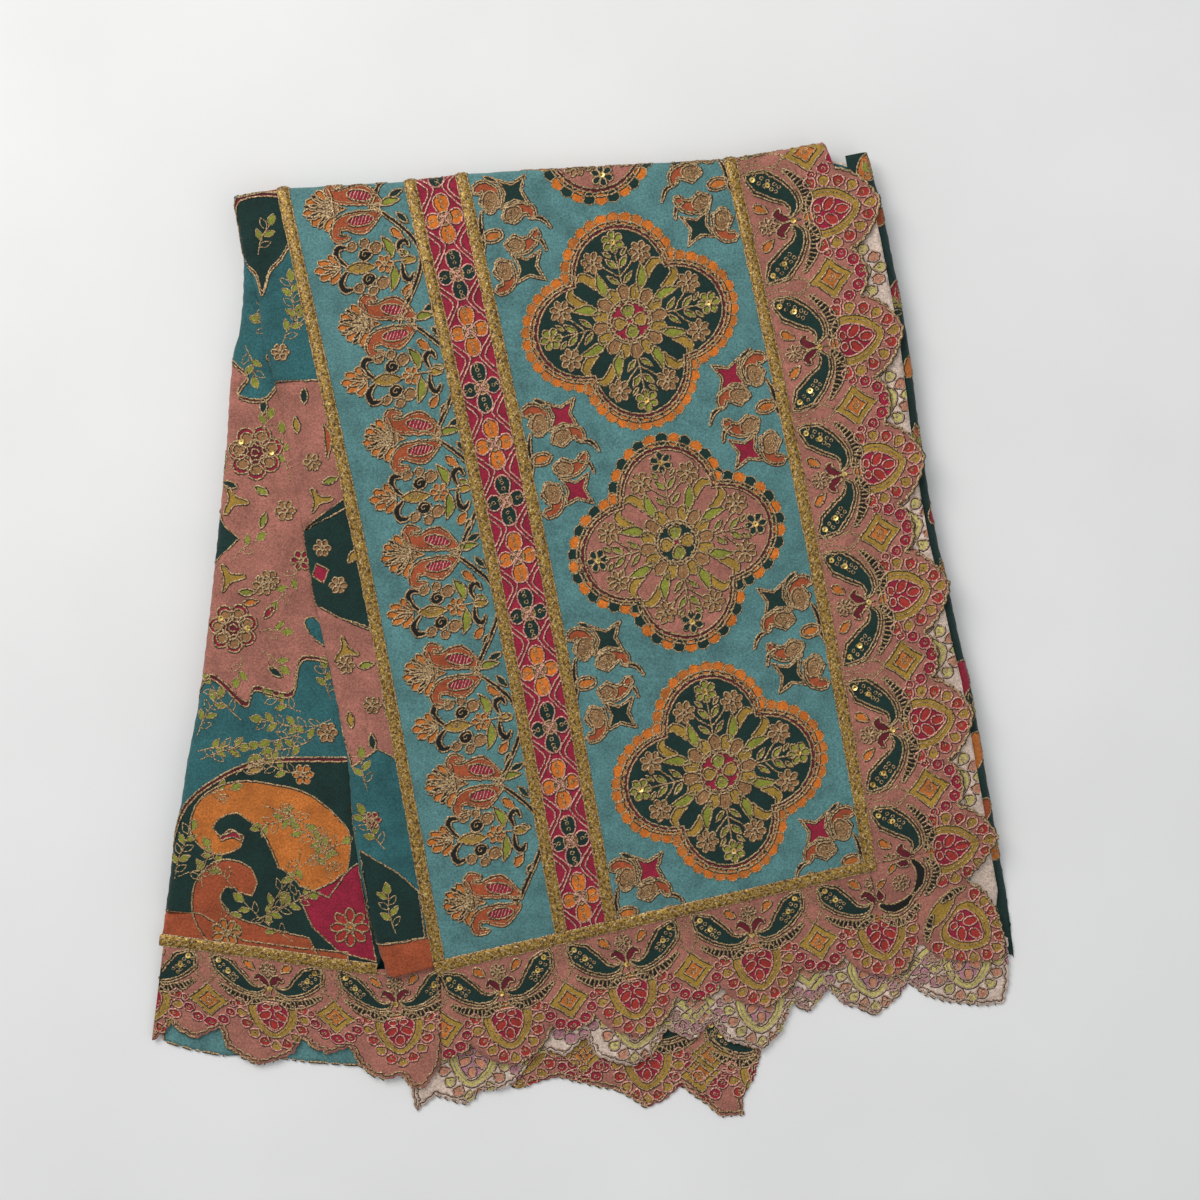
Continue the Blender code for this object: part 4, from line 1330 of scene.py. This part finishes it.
def build_cross_band(tapes):
    work = Work()
    middle = (MEDALLION_EDGE + CROSS_EDGE) / 2
    half = (CROSS_EDGE - MEDALLION_EDGE) / 2 - TAPE_WIDTH / 2
    for i in range(15):
        up = FIRST_CROSS - CROSS_PITCH * i
        between = work.at(middle, up - CROSS_PITCH / 2)
        for side in between.sides():
            side.line(curve([(half, 12), (half - 7.6, 3.4), (half - 7.6, -1), (half, -12)]), "pink")
            side.line(curve([(half, 8.4), (half - 4.8, 2.4), (half - 4.8, -1.6), (half, -8)]), "pink")
        cross(work.at(middle, up), ("green", "bright_orange")[i % 2])
    stretch("cross_band", band_outline(MEDALLION_EDGE, CROSS_EDGE), work, "crimson", PANEL,
            tapes)


TULIP_PIXELS = [(340, 207), (375, 322), (400, 437), (418, 553), (440, 672), (462, 783), (480, 902)]
PLANT_PIXELS = [(358, 268), (385, 380), (413, 497), (430, 612), (455, 727), (470, 840)]


def build_bush_band(tapes):
    work = Work()

    def photo_frame(pixel):
        """Local millimetres, right and up in the photograph, about a pixel."""
        middle = plan_of(pixel)
        return work.view(lambda p: panel_place(middle.x + p[0], middle.y + p[1]))
    for pixel in TULIP_PIXELS[:-1]:
        bush_vine(photo_frame(pixel))
    bush_vine(photo_frame((TULIP_PIXELS[0][0] - 30, TULIP_PIXELS[0][1] - 116)))
    for pixel in PLANT_PIXELS:
        bush_plant(photo_frame(pixel))
    for pixel in TULIP_PIXELS:
        bush_tulip(photo_frame(pixel))
    stretch("bush_band", band_outline(CROSS_EDGE, BUSH_EDGE), work, "teal", PANEL,
            tapes)


STRIP_TOP_PX = [(236, 150), (300, 150), (300, 186), (281, 192), (262, 190), (236, 197)]
STRIP_WEDGE_PX = [(236, 197), (281, 191), (288, 212), (292, 236), (282, 258), (270, 272), (262, 296),
                  (255, 276), (240, 262), (234, 240)]
STRIP_SPRAYS_PX = [(258, 255, 70, 2), (300, 330, 100, 4), (282, 345, 60, 2), (352, 845, 105, 3),
                   (385, 850, 120, 3), (368, 790, 100, 2), (395, 935, 100, 3)]
STRIP_THREE_POINTS_PX = [(318, 500, 150), (345, 650, 10)]
STRIP_FLOWERS_PX = [(312, 462, "beige"), (322, 548, "beige"), (346, 665, "beige"), (372, 705, "beige"),
                    (338, 585, "beige"), (280, 352, "beige"), (372, 820, "crimson")]
STRIP_LEAVES_PX = [(296, 425, 100, "mustard"), (304, 396, 90, "green"), (350, 720, 100, "mustard"),
                   (330, 480, 20, "lime"), (366, 665, 10, "lime"), (352, 556, 60, "mustard"),
                   (372, 742, 100, "green"), (336, 440, 100, "crimson")]
STRIP_ROSE_PX = [(272, 383), (306, 380), (330, 380), (360, 500), (329, 517), (300, 532), (280, 440)]
STRIP_GREEN_PX = [(300, 532), (343, 499), (362, 502), (384, 632), (340, 618), (313, 604), (306, 560)]
STRIP_LOWER_ROSE_PX = [(313, 604), (340, 618), (372, 631), (388, 636), (406, 764), (378, 749), (352, 767),
                       (333, 709)]
STRIP_GREEN_FOOT_PX = [(360, 850), (372, 858), (396, 872), (418, 892), (424, 940), (400, 944), (372, 946)]
STRIP_RUST_FOOT_PX = [(362, 944), (376, 946), (400, 944), (430, 938), (434, 980), (366, 980)]


def strip_outline():
    right = BUSH_EDGE + SEAM
    end = TUCK_ROLL * math.radians(TUCK_TURN) + TUCK_END

    def over(left):
        return top_length(left) - TOP_ROLL + OVER_TOP
    far = table_value(TUCK_LINE, 460.0) + end
    left_line = [(left + end, up) for up, left in reversed(TUCK_LINE)]
    left_line = [p for p in left_line if 0.5 < p[1] < over(far)]
    foot = (table_value(TUCK_LINE, 0.0) + end, 0.3)
    corners = [(right, 0.3), (right, over(right)), (far, over(far))] + left_line + [foot, (right, 0.3)]
    return spaced(corners)[:-1]


def lay_sprays(at, rows, foot, per_pair):
    """Leaf sprays: pixel x and y, degrees turned and pairs of leaves."""
    for px, py, degrees, pairs in rows:
        spray(at(px, py, degrees), pairs, foot + per_pair * pairs)


def lay_three_points(at, rows, size):
    """Three-pointed leaves: pixel x and y, and degrees turned."""
    for px, py, degrees in rows:
        three_point(at(px, py, degrees, size))


def lay_flowers(at, rows, radius):
    """Small flowers with crimson hearts: pixel x and y, and color."""
    for px, py, color in rows:
        flower(at(px, py), 0, 0, radius, 6, color, "crimson")


def lay_leaves(at, rows):
    """Single leaves: pixel x and y, degrees turned and color."""
    for px, py, degrees, color in rows:
        at(px, py, degrees).patch(leaf((-5, 0), (5, 0), 4.2), color)


def build_panel_strip():
    work = Work()
    work.patch(panels(STRIP_TOP_PX), "rust")
    work.patch(curve(panels(STRIP_WEDGE_PX), closed=True), "maroon")
    wedge = panels(STRIP_WEDGE_PX)
    middle = sum(wedge, Vector((0.0, 0.0))) / len(wedge)
    work.patch(ring([middle + (p - middle) * 0.9 for p in wedge]), "green")
    for shape, color in ((STRIP_ROSE_PX, "rose"), (STRIP_GREEN_PX, "green"), (STRIP_LOWER_ROSE_PX, "rose"),
                         (STRIP_GREEN_FOOT_PX, "green"), (STRIP_RUST_FOOT_PX, "rust")):
        work.patch(panels(shape), color)

    def at(px, py, degrees=0.0, size=1.0):
        """Local millimetres, right and up in the photograph, about a pixel."""
        middle = plan_of((px, py))
        return work.view(lambda p: panel_place(*p)).at(middle.x, middle.y, degrees, size)
    lay_sprays(at, STRIP_SPRAYS_PX, 8.0, 5.0)
    lay_three_points(at, STRIP_THREE_POINTS_PX, 0.8)
    lay_flowers(at, STRIP_FLOWERS_PX, 5.0)
    at(320, 573, 20).patch([(0, 6), (5, 0), (0, -6), (-5, 0)], "crimson")
    lay_leaves(at, STRIP_LEAVES_PX)
    at(325, 442).patch(swell([(-1, 10), (1.5, 2), (1, -9)], [0.5, 2.2, 0.5]), "rust")
    at(384, 702).patch(swell([(-1, 9), (1.5, 1), (1, -8)], [0.5, 2.4, 0.5]), "rust")
    stretch("panel_strip", strip_outline(), work, "deep_teal", PANEL)


def edged(work, edge):
    """The overcast edge of the scallops, and the second row of thread inside it."""
    work.line(edge, "gold", OVERCAST_WIDTH)
    inner = []
    for i in range(1, len(edge) - 1):
        along = (edge[i + 1] - edge[i - 1]).normalized()
        inner.append(edge[i] - Vector((along.y, -along.x)) * OVERCAST_GAP)
    work.line(inner, "gold", BAR_WIDTH)


def build_side_border():
    work = Work(lambda p: Vector((-p[1] * table_value(SIDE_STRETCH, p[0]), p[0])))
    border_run(work, [PERIOD * i for i in range(7)])
    far = top_length(-BIG_TIP) - TOP_ROLL
    edge = picot([Vector((-side_depth(up), up)) for up in steps(SEAM, far, int(far / EDGE_SAMPLE))])
    edged(Work(share=work), edge)
    reach = side_depth(far)
    top = [(-reach + 4.0, top_length(-reach + 4.0) - TOP_ROLL + OVER_TOP)]
    top.append((-SEAM, top_length(-SEAM) - TOP_ROLL + OVER_TOP))
    seam = spaced([(-SEAM, top[1][1]), (-SEAM, SEAM), (-side_depth(0.0), SEAM)])
    outline = edge + spaced(top) + seam[1:-1]
    stretch("side_border", outline, work, "rose", PANEL)


def build_hem_border():
    work = Work(lambda p: Vector((p[0], -p[1] * HEM_SHARE)))
    border_run(work, [PERIOD * i for i in range(5)])
    slant = BAND_UP.x / HEM_LEFT.x
    end = BORDER_END + HEM_COVER
    foot = end + slant * SMALL_TIP * HEM_SHARE
    lefts = steps(foot, SEAM, int(foot / EDGE_SAMPLE))
    edge = picot([Vector((left, -scallop_depth(left) * HEM_SHARE)) for left in lefts])
    edged(Work(share=work), edge)
    rise = spaced([(SEAM, -BIG_TIP * HEM_SHARE), (SEAM, -SEAM), (end, -SEAM), (foot, -SMALL_TIP * HEM_SHARE)])
    outline = edge + rise[1:-1]
    stretch("hem_border", outline, work, "rose", PANEL)


def build_corner_border():
    """The quarter that turns the corner: (left, up), both below zero."""
    work = Work()
    border_shield(work.view(lambda p: (-p[1] * SIDE_STRETCH[0][1], p[0])))
    border_shield(work.view(lambda p: (p[0], -p[1] * HEM_SHARE)))
    turn = math.sqrt(0.5)

    def across_corner(p):
        out = (p[1] + CORNER_PUSH) * turn
        return (-out + p[0] * turn, -out - p[0] * turn)
    diagonal = work.view(across_corner)
    border_shield(diagonal)
    diagonal.patch(oval(0, 27, 13, 4.6), "mustard")
    for half in diagonal.sides():
        comb = [(5, 25), (12, 27), (19, 31)]
        half.patch(swell(comb, [1.0, 2.5, 0.8]), "black")
        comb_bars(half, comb)
    flower(work, -16, -14, 5.2, 8, "rose", "maroon")
    for half in (work, work.view(lambda p: (p[1], p[0]))):
        half.patch(swell([(-24.7, -2.3), (-28, -9), (-26.6, -16), (-22, -22)], [1.6, 2.6, 2.4, 1.0]), "black")
        comb = [(-33, -3), (-36.7, -10), (-35.0, -17), (-29, -24)]
        half.patch(swell(comb, [1.2, 2.5, 2.5, 1.0]), "black")
        comb_bars(half, comb)
        half.line(curve([(-30, -2), (-32.5, -10), (-30.5, -17), (-25, -24)]))
        half.patch(petal((-14.6, -2.0), (-22.4, -3.6), 4.6), "maroon")
        half.patch(petal((-9.5, -7.5), (-14.0, -2.0), 3.6), "orange")
    edge = [(-SEAM, -BIG_TIP * HEM_SHARE)] + CORNER_EDGE + [(-side_depth(0.0), -SEAM)]
    edge = picot(curve(edge, EDGE_SAMPLE))
    edged(work, edge)
    outline = edge + spaced([(-side_depth(0.0), -SEAM), (-SEAM, -SEAM), (-SEAM, -BIG_TIP * HEM_SHARE)])[1:-1]
    stretch("corner_border", outline, work, "rose", PANEL)


LEFT_ROSE_PX = [(200, 366), (245, 372), (236, 392), (262, 398), (300, 384), (345, 600), (345, 661),
                (302, 661), (290, 697), (254, 691), (244, 707), (208, 679), (180, 706), (180, 560)]
LEFT_BAY_PX = [(303, 624), (306, 618), (314, 618), (323, 630), (330, 648), (312, 638)]
LEFT_DARK_PX = [(205, 505), (214, 510), (224, 526), (238, 538), (226, 550), (212, 562), (196, 568)]
LEFT_ARCH_PX = [(140, 880), (166, 842), (182, 806), (214, 779), (262, 760), (345, 758), (380, 760),
                (430, 960), (150, 960)]
LEFT_PAISLEY_PX = [(322, 880), (312, 850), (290, 822), (264, 806), (236, 798), (210, 808), (200, 830),
                   (216, 846), (236, 840)]
LEFT_PAISLEY_WIDTHS = [14, 23, 19, 13, 9, 8, 6.5, 5.5, 5]
LEFT_LOWER_PAISLEY_PX = [(246, 890), (238, 878), (218, 876), (204, 896), (210, 925), (245, 950), (300, 965)]
LEFT_LOWER_PAISLEY_WIDTHS = [6, 8, 8, 8, 10, 14, 14]
LEFT_CURLS_PX = [(285, 812, 5.0), (318, 836, 5.0), (312, 862, 4.0), (222, 800, 3.5), (336, 868, 3.5)]
LEFT_SPRAYS_PX = [(262, 440, 75, 1), (244, 345, -75, 2), (300, 300, 200, 3), (255, 300, -60, 3),
                  (290, 330, -100, 2), (240, 655, -100, 1), (262, 652, -40, 1), (258, 632, 0, 1),
                  (312, 727, 172, 4), (312, 740, 195, 3), (300, 712, 150, 2), (196, 735, 60, 3),
                  (196, 752, 5, 3), (235, 775, 25, 2), (330, 700, 100, 2), (300, 775, 160, 3),
                  (172, 880, 70, 4), (252, 925, 25, 5), (335, 850, 150, 3), (300, 812, 200, 3),
                  (330, 880, 100, 2)]
LEFT_THREE_POINTS_PX = [(232, 500, 20), (228, 578, 150), (312, 500, 60)]
LEFT_FLOWERS_PX = [(275, 356, "beige"), (284, 510, "beige"), (268, 580, "beige"), (326, 733, "beige"),
                   (302, 775, "orange"), (300, 560, "crimson"), (262, 585, "beige")]
LEFT_LEAVES_PX = [(228, 484, 160, "green"), (262, 405, 90, "green"), (274, 672, -35, "green"),
                  (260, 490, 150, "lime"), (246, 592, 0, "lime"), (262, 520, 70, "lime"),
                  (250, 602, 10, "orange"), (268, 612, 50, "crimson"), (254, 770, 15, "mustard")]
LEFT_LONG_SPRAYS_PX = [(200, 800, 20, 1), (262, 806, -25, 2), (300, 850, -110, 2), (300, 868, 30, 2),
                       (200, 890, 80, 1), (232, 890, 120, 2), (215, 900, -60, 1), (176, 878, 10, 1),
                       (262, 925, 60, 2), (290, 945, 140, 3), (200, 760, 15, 2), (330, 720, 200, 3),
                       (232, 560, 40, 1), (300, 560, -120, 2), (215, 480, 60, 1), (290, 480, 100, 2),
                       (240, 720, 130, 2), (262, 330, -30, 2), (300, 345, 150, 2)]
LEFT_FOOT_PX = [(150, 914), (196, 916), (240, 944), (300, 952), (345, 956), (345, 976), (140, 976)]
LEFT_WEDGE_PX = [(297, 899), (330, 884), (357, 864), (374, 966), (336, 955), (310, 930)]


def left_outline():
    fold = [(x - SIDE_ROLL * (math.pi / 2 - 1.0) - SIDE_DROP, y) for x, y in LEFT_FOLD_EDGE]
    seam = [(x, y + SEAM) for x, y in LEFT_HEM_SEAM[:4]]
    rows = PANEL_LEFT_EDGE[4:-1]
    tucked = []
    for x, y in reversed(rows):
        share = (y - rows[-1][1]) / (rows[0][1] - rows[-1][1])
        tucked.append((x + mix(TUCK_AT_HEM, TUCK_AT_TOP, share), y))
    seam[0] = (fold[-1][0] + 1.0, seam[0][1])
    return spaced(fold + seam + tucked + LEFT_STRETCH_TOP + fold[:1])[:-1]


def build_left_panel(tapes):
    work = Work()

    def at(px, py, degrees=0.0, size=1.0):
        middle = plan_of((px, py))
        return work.at(middle.x, middle.y, degrees, size)
    work.patch(ring(plans(LEFT_ROSE_PX)), "maroon")
    middle = plan_of((270, 520))
    work.patch(ring([middle + (p - middle) * 0.972 for p in plans(LEFT_ROSE_PX)]), "rose")
    work.patch(ring(plans(LEFT_BAY_PX)), "deep_teal")
    work.patch(plans(LEFT_DARK_PX), "green")
    work.patch(ring(plans(LEFT_ARCH_PX), 4.0), "maroon")
    middle = plan_of((260, 900))
    work.patch(ring([middle + (p - middle) * 0.97 for p in plans(LEFT_ARCH_PX)], 4.0), "green")
    work.patch(swell(plans(LEFT_LOWER_PAISLEY_PX), LEFT_LOWER_PAISLEY_WIDTHS), "rust")
    work.patch(plans(LEFT_FOOT_PX), "rust")
    work.patch(swell(plans(LEFT_PAISLEY_PX), LEFT_PAISLEY_WIDTHS), "orange")
    work.patch(plans(LEFT_WEDGE_PX), "crimson")
    at(230, 840).patch(swell([(-6, 0), (0, 3.4), (5, 0)], [0.8, 2.4, 0.6]), "crimson")
    lay_sprays(at, LEFT_LONG_SPRAYS_PX, 8.0, 9.5)
    flower(at(348, 930), 0, 0, 11.5, 8, "red", "orange")
    flower(at(222, 936), 0, 0, 8.5, 7, "orange", "mustard")
    rosette(at(254, 452), 15.5)
    rosette(at(232, 628), 14.0)
    lay_sprays(at, LEFT_SPRAYS_PX, 7.0, 5.5)
    lay_three_points(at, LEFT_THREE_POINTS_PX, 0.9)
    lay_flowers(at, LEFT_FLOWERS_PX, 6.0)
    lay_leaves(at, LEFT_LEAVES_PX)
    for px, py, size in LEFT_CURLS_PX:
        spiral(at(px, py), 0, 0, size, size, 0.0, 2)
    place = plan_surface(GROUNDS[3], LEFT_FOLD_EDGE, -1.0)
    stretch("left_panel", left_outline(), work, "deep_teal", place,
            tapes)


def build_left_border():
    seam = [Vector(p) for p in LEFT_HEM_SEAM]
    ends = [0.0]
    for a, b in zip(seam, seam[1:]):
        ends.append(ends[-1] + (b - a).length)

    def out(s, d):
        for a, b, low, high in zip(seam, seam[1:], ends, ends[1:]):
            if s <= high or b is seam[-1]:
                along = (b - a) / (high - low)
                point = a + along * (s - low)
                break
        return point + LEFT_BORDER_DOWN * d * LEFT_BORDER_SHARE
    work = Work(lambda p: out(p[0], p[1]))
    border_run(work, [LEFT_FIRST_SCALLOP + PERIOD * i for i in (-1, 0, 1, 2)])
    edge = picot(spaced(LEFT_HEM_EDGE[::-1]))
    edged(Work(share=work), edge)
    top = [(x, y - SEAM) for x, y in LEFT_HEM_SEAM[::-1]]
    outline = edge + spaced(top)[:-1]
    stretch("left_border", outline, work, "rose", plan_surface(GROUNDS[3]))


def fan_periods(work, tips, centres=True):
    """Border motifs whose scallop tips stand at given places and directions."""
    for x, y, degrees in tips:
        turn = math.radians(degrees)
        down = Vector((math.sin(turn), -math.cos(turn)))
        aside = Vector((math.cos(turn), math.sin(turn)))
        root = Vector((x, y)) - down * FAN_TIP

        def move(p, root=root, down=down, aside=aside):
            return root + aside * p[0] + down * p[1] * HEM_SHARE
        moved = work.view(move)
        border_shield(moved)
        if centres:
            border_centre(moved)
        for side in (-1, 1):
            border_gap(moved.view(lambda p, side=side: (p[0] + side * PERIOD / 2, p[1])))


def build_lower_layers():
    low = plan_surface(GROUNDS[1])
    middle = plan_surface(GROUNDS[2])
    work = Work()
    fan_periods(work, LOWER_HEM_TIPS)
    edge = picot(spaced(LOWER_HEM_EDGE))
    edged(work, edge)
    stretch("lower_hem", edge + spaced(LOWER_HEM_INNER), work, "rose", low)
    work = Work()
    edge = spaced(UNDER_LEFT_EDGE + UNDER_LEFT_EDGE[:1])[:-1]
    work.line(edge)
    stretch("under_left", edge, work, "teal", low)
    lefts = steps(-60.0, 250.0, 30)
    lining = [panel_point(left, -LINING_REACH * HEM_SHARE) for left in lefts]
    lining += [panel_point(left, -20.0) for left in reversed(lefts)]
    work = Work(faded=True)
    fan_periods(work, REVERSED_HEM_TIPS, centres=False)
    work.patch(lining, "lining", None)
    edge = picot(spaced(REVERSED_HEM_EDGE))
    edged(work, edge)
    stretch("reversed_hem_front", edge + spaced(REVERSED_HEM_INNER), work, "pale", middle)
    work = Work(faded=True)
    edge = spaced([(x - REVERSED_SIDE_INSET, y) for x, y in RIGHT_FOLD_EDGE[1:-1]])
    for i in range(6):
        up = (i + 0.5) * PERIOD
        moved = work.view(lambda p, up=up: panel_point(-(p[1] + REVERSED_SIDE_PUSH), p[0] + up))
        border_shield(moved)
        border_gap(moved.view(lambda p: (p[0] - PERIOD / 2, p[1])))
    ups = steps(-60.0, 400.0, 40)
    lining = [panel_point(-LINING_REACH * table_value(SIDE_STRETCH, up), up) for up in ups]
    lining += [panel_point(-20.0, up) for up in reversed(ups)]
    work.patch(lining, "lining", None)
    work.line(edge)
    stretch("reversed_hem_side", edge + spaced(REVERSED_SIDE_INNER), work, "pale", middle)


RIGHT_PRINTS_PX = [((868, 165), "orange", 9.0), ((882, 215), "rust", 6.0), ((898, 290), "crimson", 7.0),
                   ((912, 365), "orange", 7.0), ((918, 440), "rust", 9.0), ((938, 512), "crimson", 7.0),
                   ((945, 575), "orange", 7.0), ((962, 680), "crimson", 12.0), ((975, 752), "orange", 12.0),
                   ((985, 812), "rust", 8.0), ((1003, 850), "orange", 8.0)]


def build_right_fold():
    work = Work()
    for pixel, color, size in RIGHT_PRINTS_PX:
        middle = plan_of(pixel)
        work.patch(oval(middle.x, middle.y, size, size * 0.6, 70), color)
    for i, y in enumerate(steps(255.0, -170.0, 11)):
        x = edge_x(RIGHT_FOLD_EDGE, y) - 9.0
        spray(work.at(x, y, 60.0 + 50.0 * (i % 2)), 2, 14.0)
    fold = [(x + SIDE_ROLL * (math.pi / 2 - 1.0) + SIDE_DROP, y) for x, y in RIGHT_FOLD_EDGE[::-1]]
    outline = spaced(fold + RIGHT_FOLD_INNER + fold[:1])[:-1]
    place = plan_surface(GROUNDS[1], RIGHT_FOLD_EDGE, 1.0)
    stretch("right_fold", outline, work, "green", place)


def build_tapes():
    tapes = {}
    for name, middle in (("tape_strip", BUSH_EDGE), ("tape_bush", CROSS_EDGE), ("tape_cross", MEDALLION_EDGE),
                         ("tape_side", 0.0)):
        end = top_length(middle) - TOP_ROLL + OVER_TOP - 1.5
        tapes[name] = lay_tape(name, [(middle, 3.8), (middle, end)], PANEL)
    tapes["tape_hem"] = lay_tape("tape_hem", [(BUSH_EDGE + 3.0, 0.0), (-TAPE_WIDTH / 2, 0.0)], PANEL)
    tapes["tape_left_hem"] = lay_tape("tape_left_hem", LEFT_HEM_SEAM[:-2], plan_surface(GROUNDS[3]))
    return tapes


def build_core():
    """The hidden layers: rounded folds of the same cloth, one above another."""
    line = curve(CORE_EDGE, CORE_LINE_STEP, closed=True)
    heights = Ground(["folded_core"], 0.0)
    count = len(line)
    rows_per_fold = 8
    levels = CORE_FOLDS * rows_per_fold
    verts, faces, face_slots = [], [], []
    for level in range(levels + 1):
        share = level / levels
        phase = (level % rows_per_fold) / rows_per_fold
        groove = CORE_GROOVE * (1.0 - math.sin(math.pi * phase)) ** 2
        for i, point in enumerate(line):
            along = (line[(i + 1) % count] - line[i - 1]).normalized()
            normal = Vector((-along.y, along.x))
            fold = level // rows_per_fold
            wave = CORE_WAVE * noise.noise(Vector((point.x / 30.0, point.y / 30.0, fold)))
            place = point - normal * (groove + CORE_INSET + wave)
            inner = point - normal * 6.0
            verts.append(world(place.x, place.y, (heights.base(inner.x, inner.y) - CORE_SINK) * share))
    slots = ["deep_teal", "rose", "green", "teal", "pale"]
    for level in range(levels):
        for i in range(count):
            j = (i + 1) % count
            a = level * count
            faces.append((a + j, a + i, a + count + i, a + count + j))
            face_slots.append(level // rows_per_fold % len(slots))
    for rim, height in ((0, 0.0), (levels * count, heights.base(0.0, 0.0) - CORE_SINK)):
        centre = len(verts)
        verts.append(world(0.0, 0.0, height))
        for i in range(count):
            pair = [rim + i, rim + (i + 1) % count]
            faces.append((centre, *(pair[::-1] if rim else pair)))
            face_slots.append(0)
    piece = mesh_object("hidden_folds", verts, faces, slots, face_slots)
    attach(piece, "root")
    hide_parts("folded_core")


def build_floor():
    size = 6.0
    floor = mesh_object("floor", [(-size, -size, 0), (size, -size, 0), (size, size, 0), (-size, size, 0)],
                        [(0, 1, 2, 3)], [], [0])
    material, nodes, links, shader = new_material("pale_floor")
    where = nodes.new("ShaderNodeTexCoord")
    cloud = noise_node(nodes, links, where, 6.0, 3.0)
    tint = ramp_node(nodes, links, cloud.outputs["Fac"],
                     [(0.3, (0.78, 0.78, 0.77, 1.0)), (0.7, (0.83, 0.83, 0.82, 1.0))])
    links.new(tint.outputs["Color"], shader.inputs["Base Color"])
    shader.inputs["Roughness"].default_value = 0.9
    floor.data.materials.append(material)


def build_light(name, place, size, energy, color):
    lamp = bpy.data.lights.new(name, "AREA")
    lamp.shape = "SQUARE"
    lamp.size = size
    lamp.energy = energy
    lamp.color = color
    holder = bpy.data.objects.new(name, lamp)
    holder.location = place
    holder.rotation_euler = (-Vector(place)).to_track_quat("-Z", "Y").to_euler()
    bpy.context.scene.collection.objects.link(holder)


def build_studio():
    scene = bpy.context.scene
    sky = bpy.data.worlds.new("studio")
    sky.use_nodes = True
    sky.node_tree.nodes["Background"].inputs["Color"].default_value = (0.93, 0.96, 1.0, 1.0)
    sky.node_tree.nodes["Background"].inputs["Strength"].default_value = 0.47
    scene.world = sky
    build_light("window", (-0.9, 1.1, 1.5), 1.2, 28.0, (1.0, 0.985, 0.96))
    build_light("room", (1.2, -0.9, 1.6), 1.6, 5.5, (1.0, 0.97, 0.94))
    scene.view_settings.view_transform = "Standard"
    scene.view_settings.look = "None"


def build_camera():
    lens, sensor = 50.0, 36.0
    cloth_height = 20.0
    frame_width = PHOTO_SIZE * MM_PER_PIXEL
    middle = plan_of((PHOTO_SIZE / 2, PHOTO_SIZE / 2))
    camera = bpy.data.cameras.new("photo_view")
    camera.lens = lens
    camera.sensor_width = sensor
    holder = bpy.data.objects.new("photo_view", camera)
    holder.location = world(middle.x, middle.y, cloth_height + frame_width * lens / sensor)
    bpy.context.scene.collection.objects.link(holder)
    bpy.context.scene.camera = holder


build_camera()
build_studio()
build_floor()
build_core()
tapes = build_tapes()
build_lower_layers()
build_right_fold()
build_left_panel([tapes["tape_left_hem"]])
build_left_border()
build_panel_strip()
build_bush_band([tapes["tape_strip"]])
build_cross_band([tapes["tape_bush"]])
build_medallion_band([tapes["tape_side"], tapes["tape_cross"], tapes["tape_hem"]])
build_side_border()
build_hem_border()
build_corner_border()
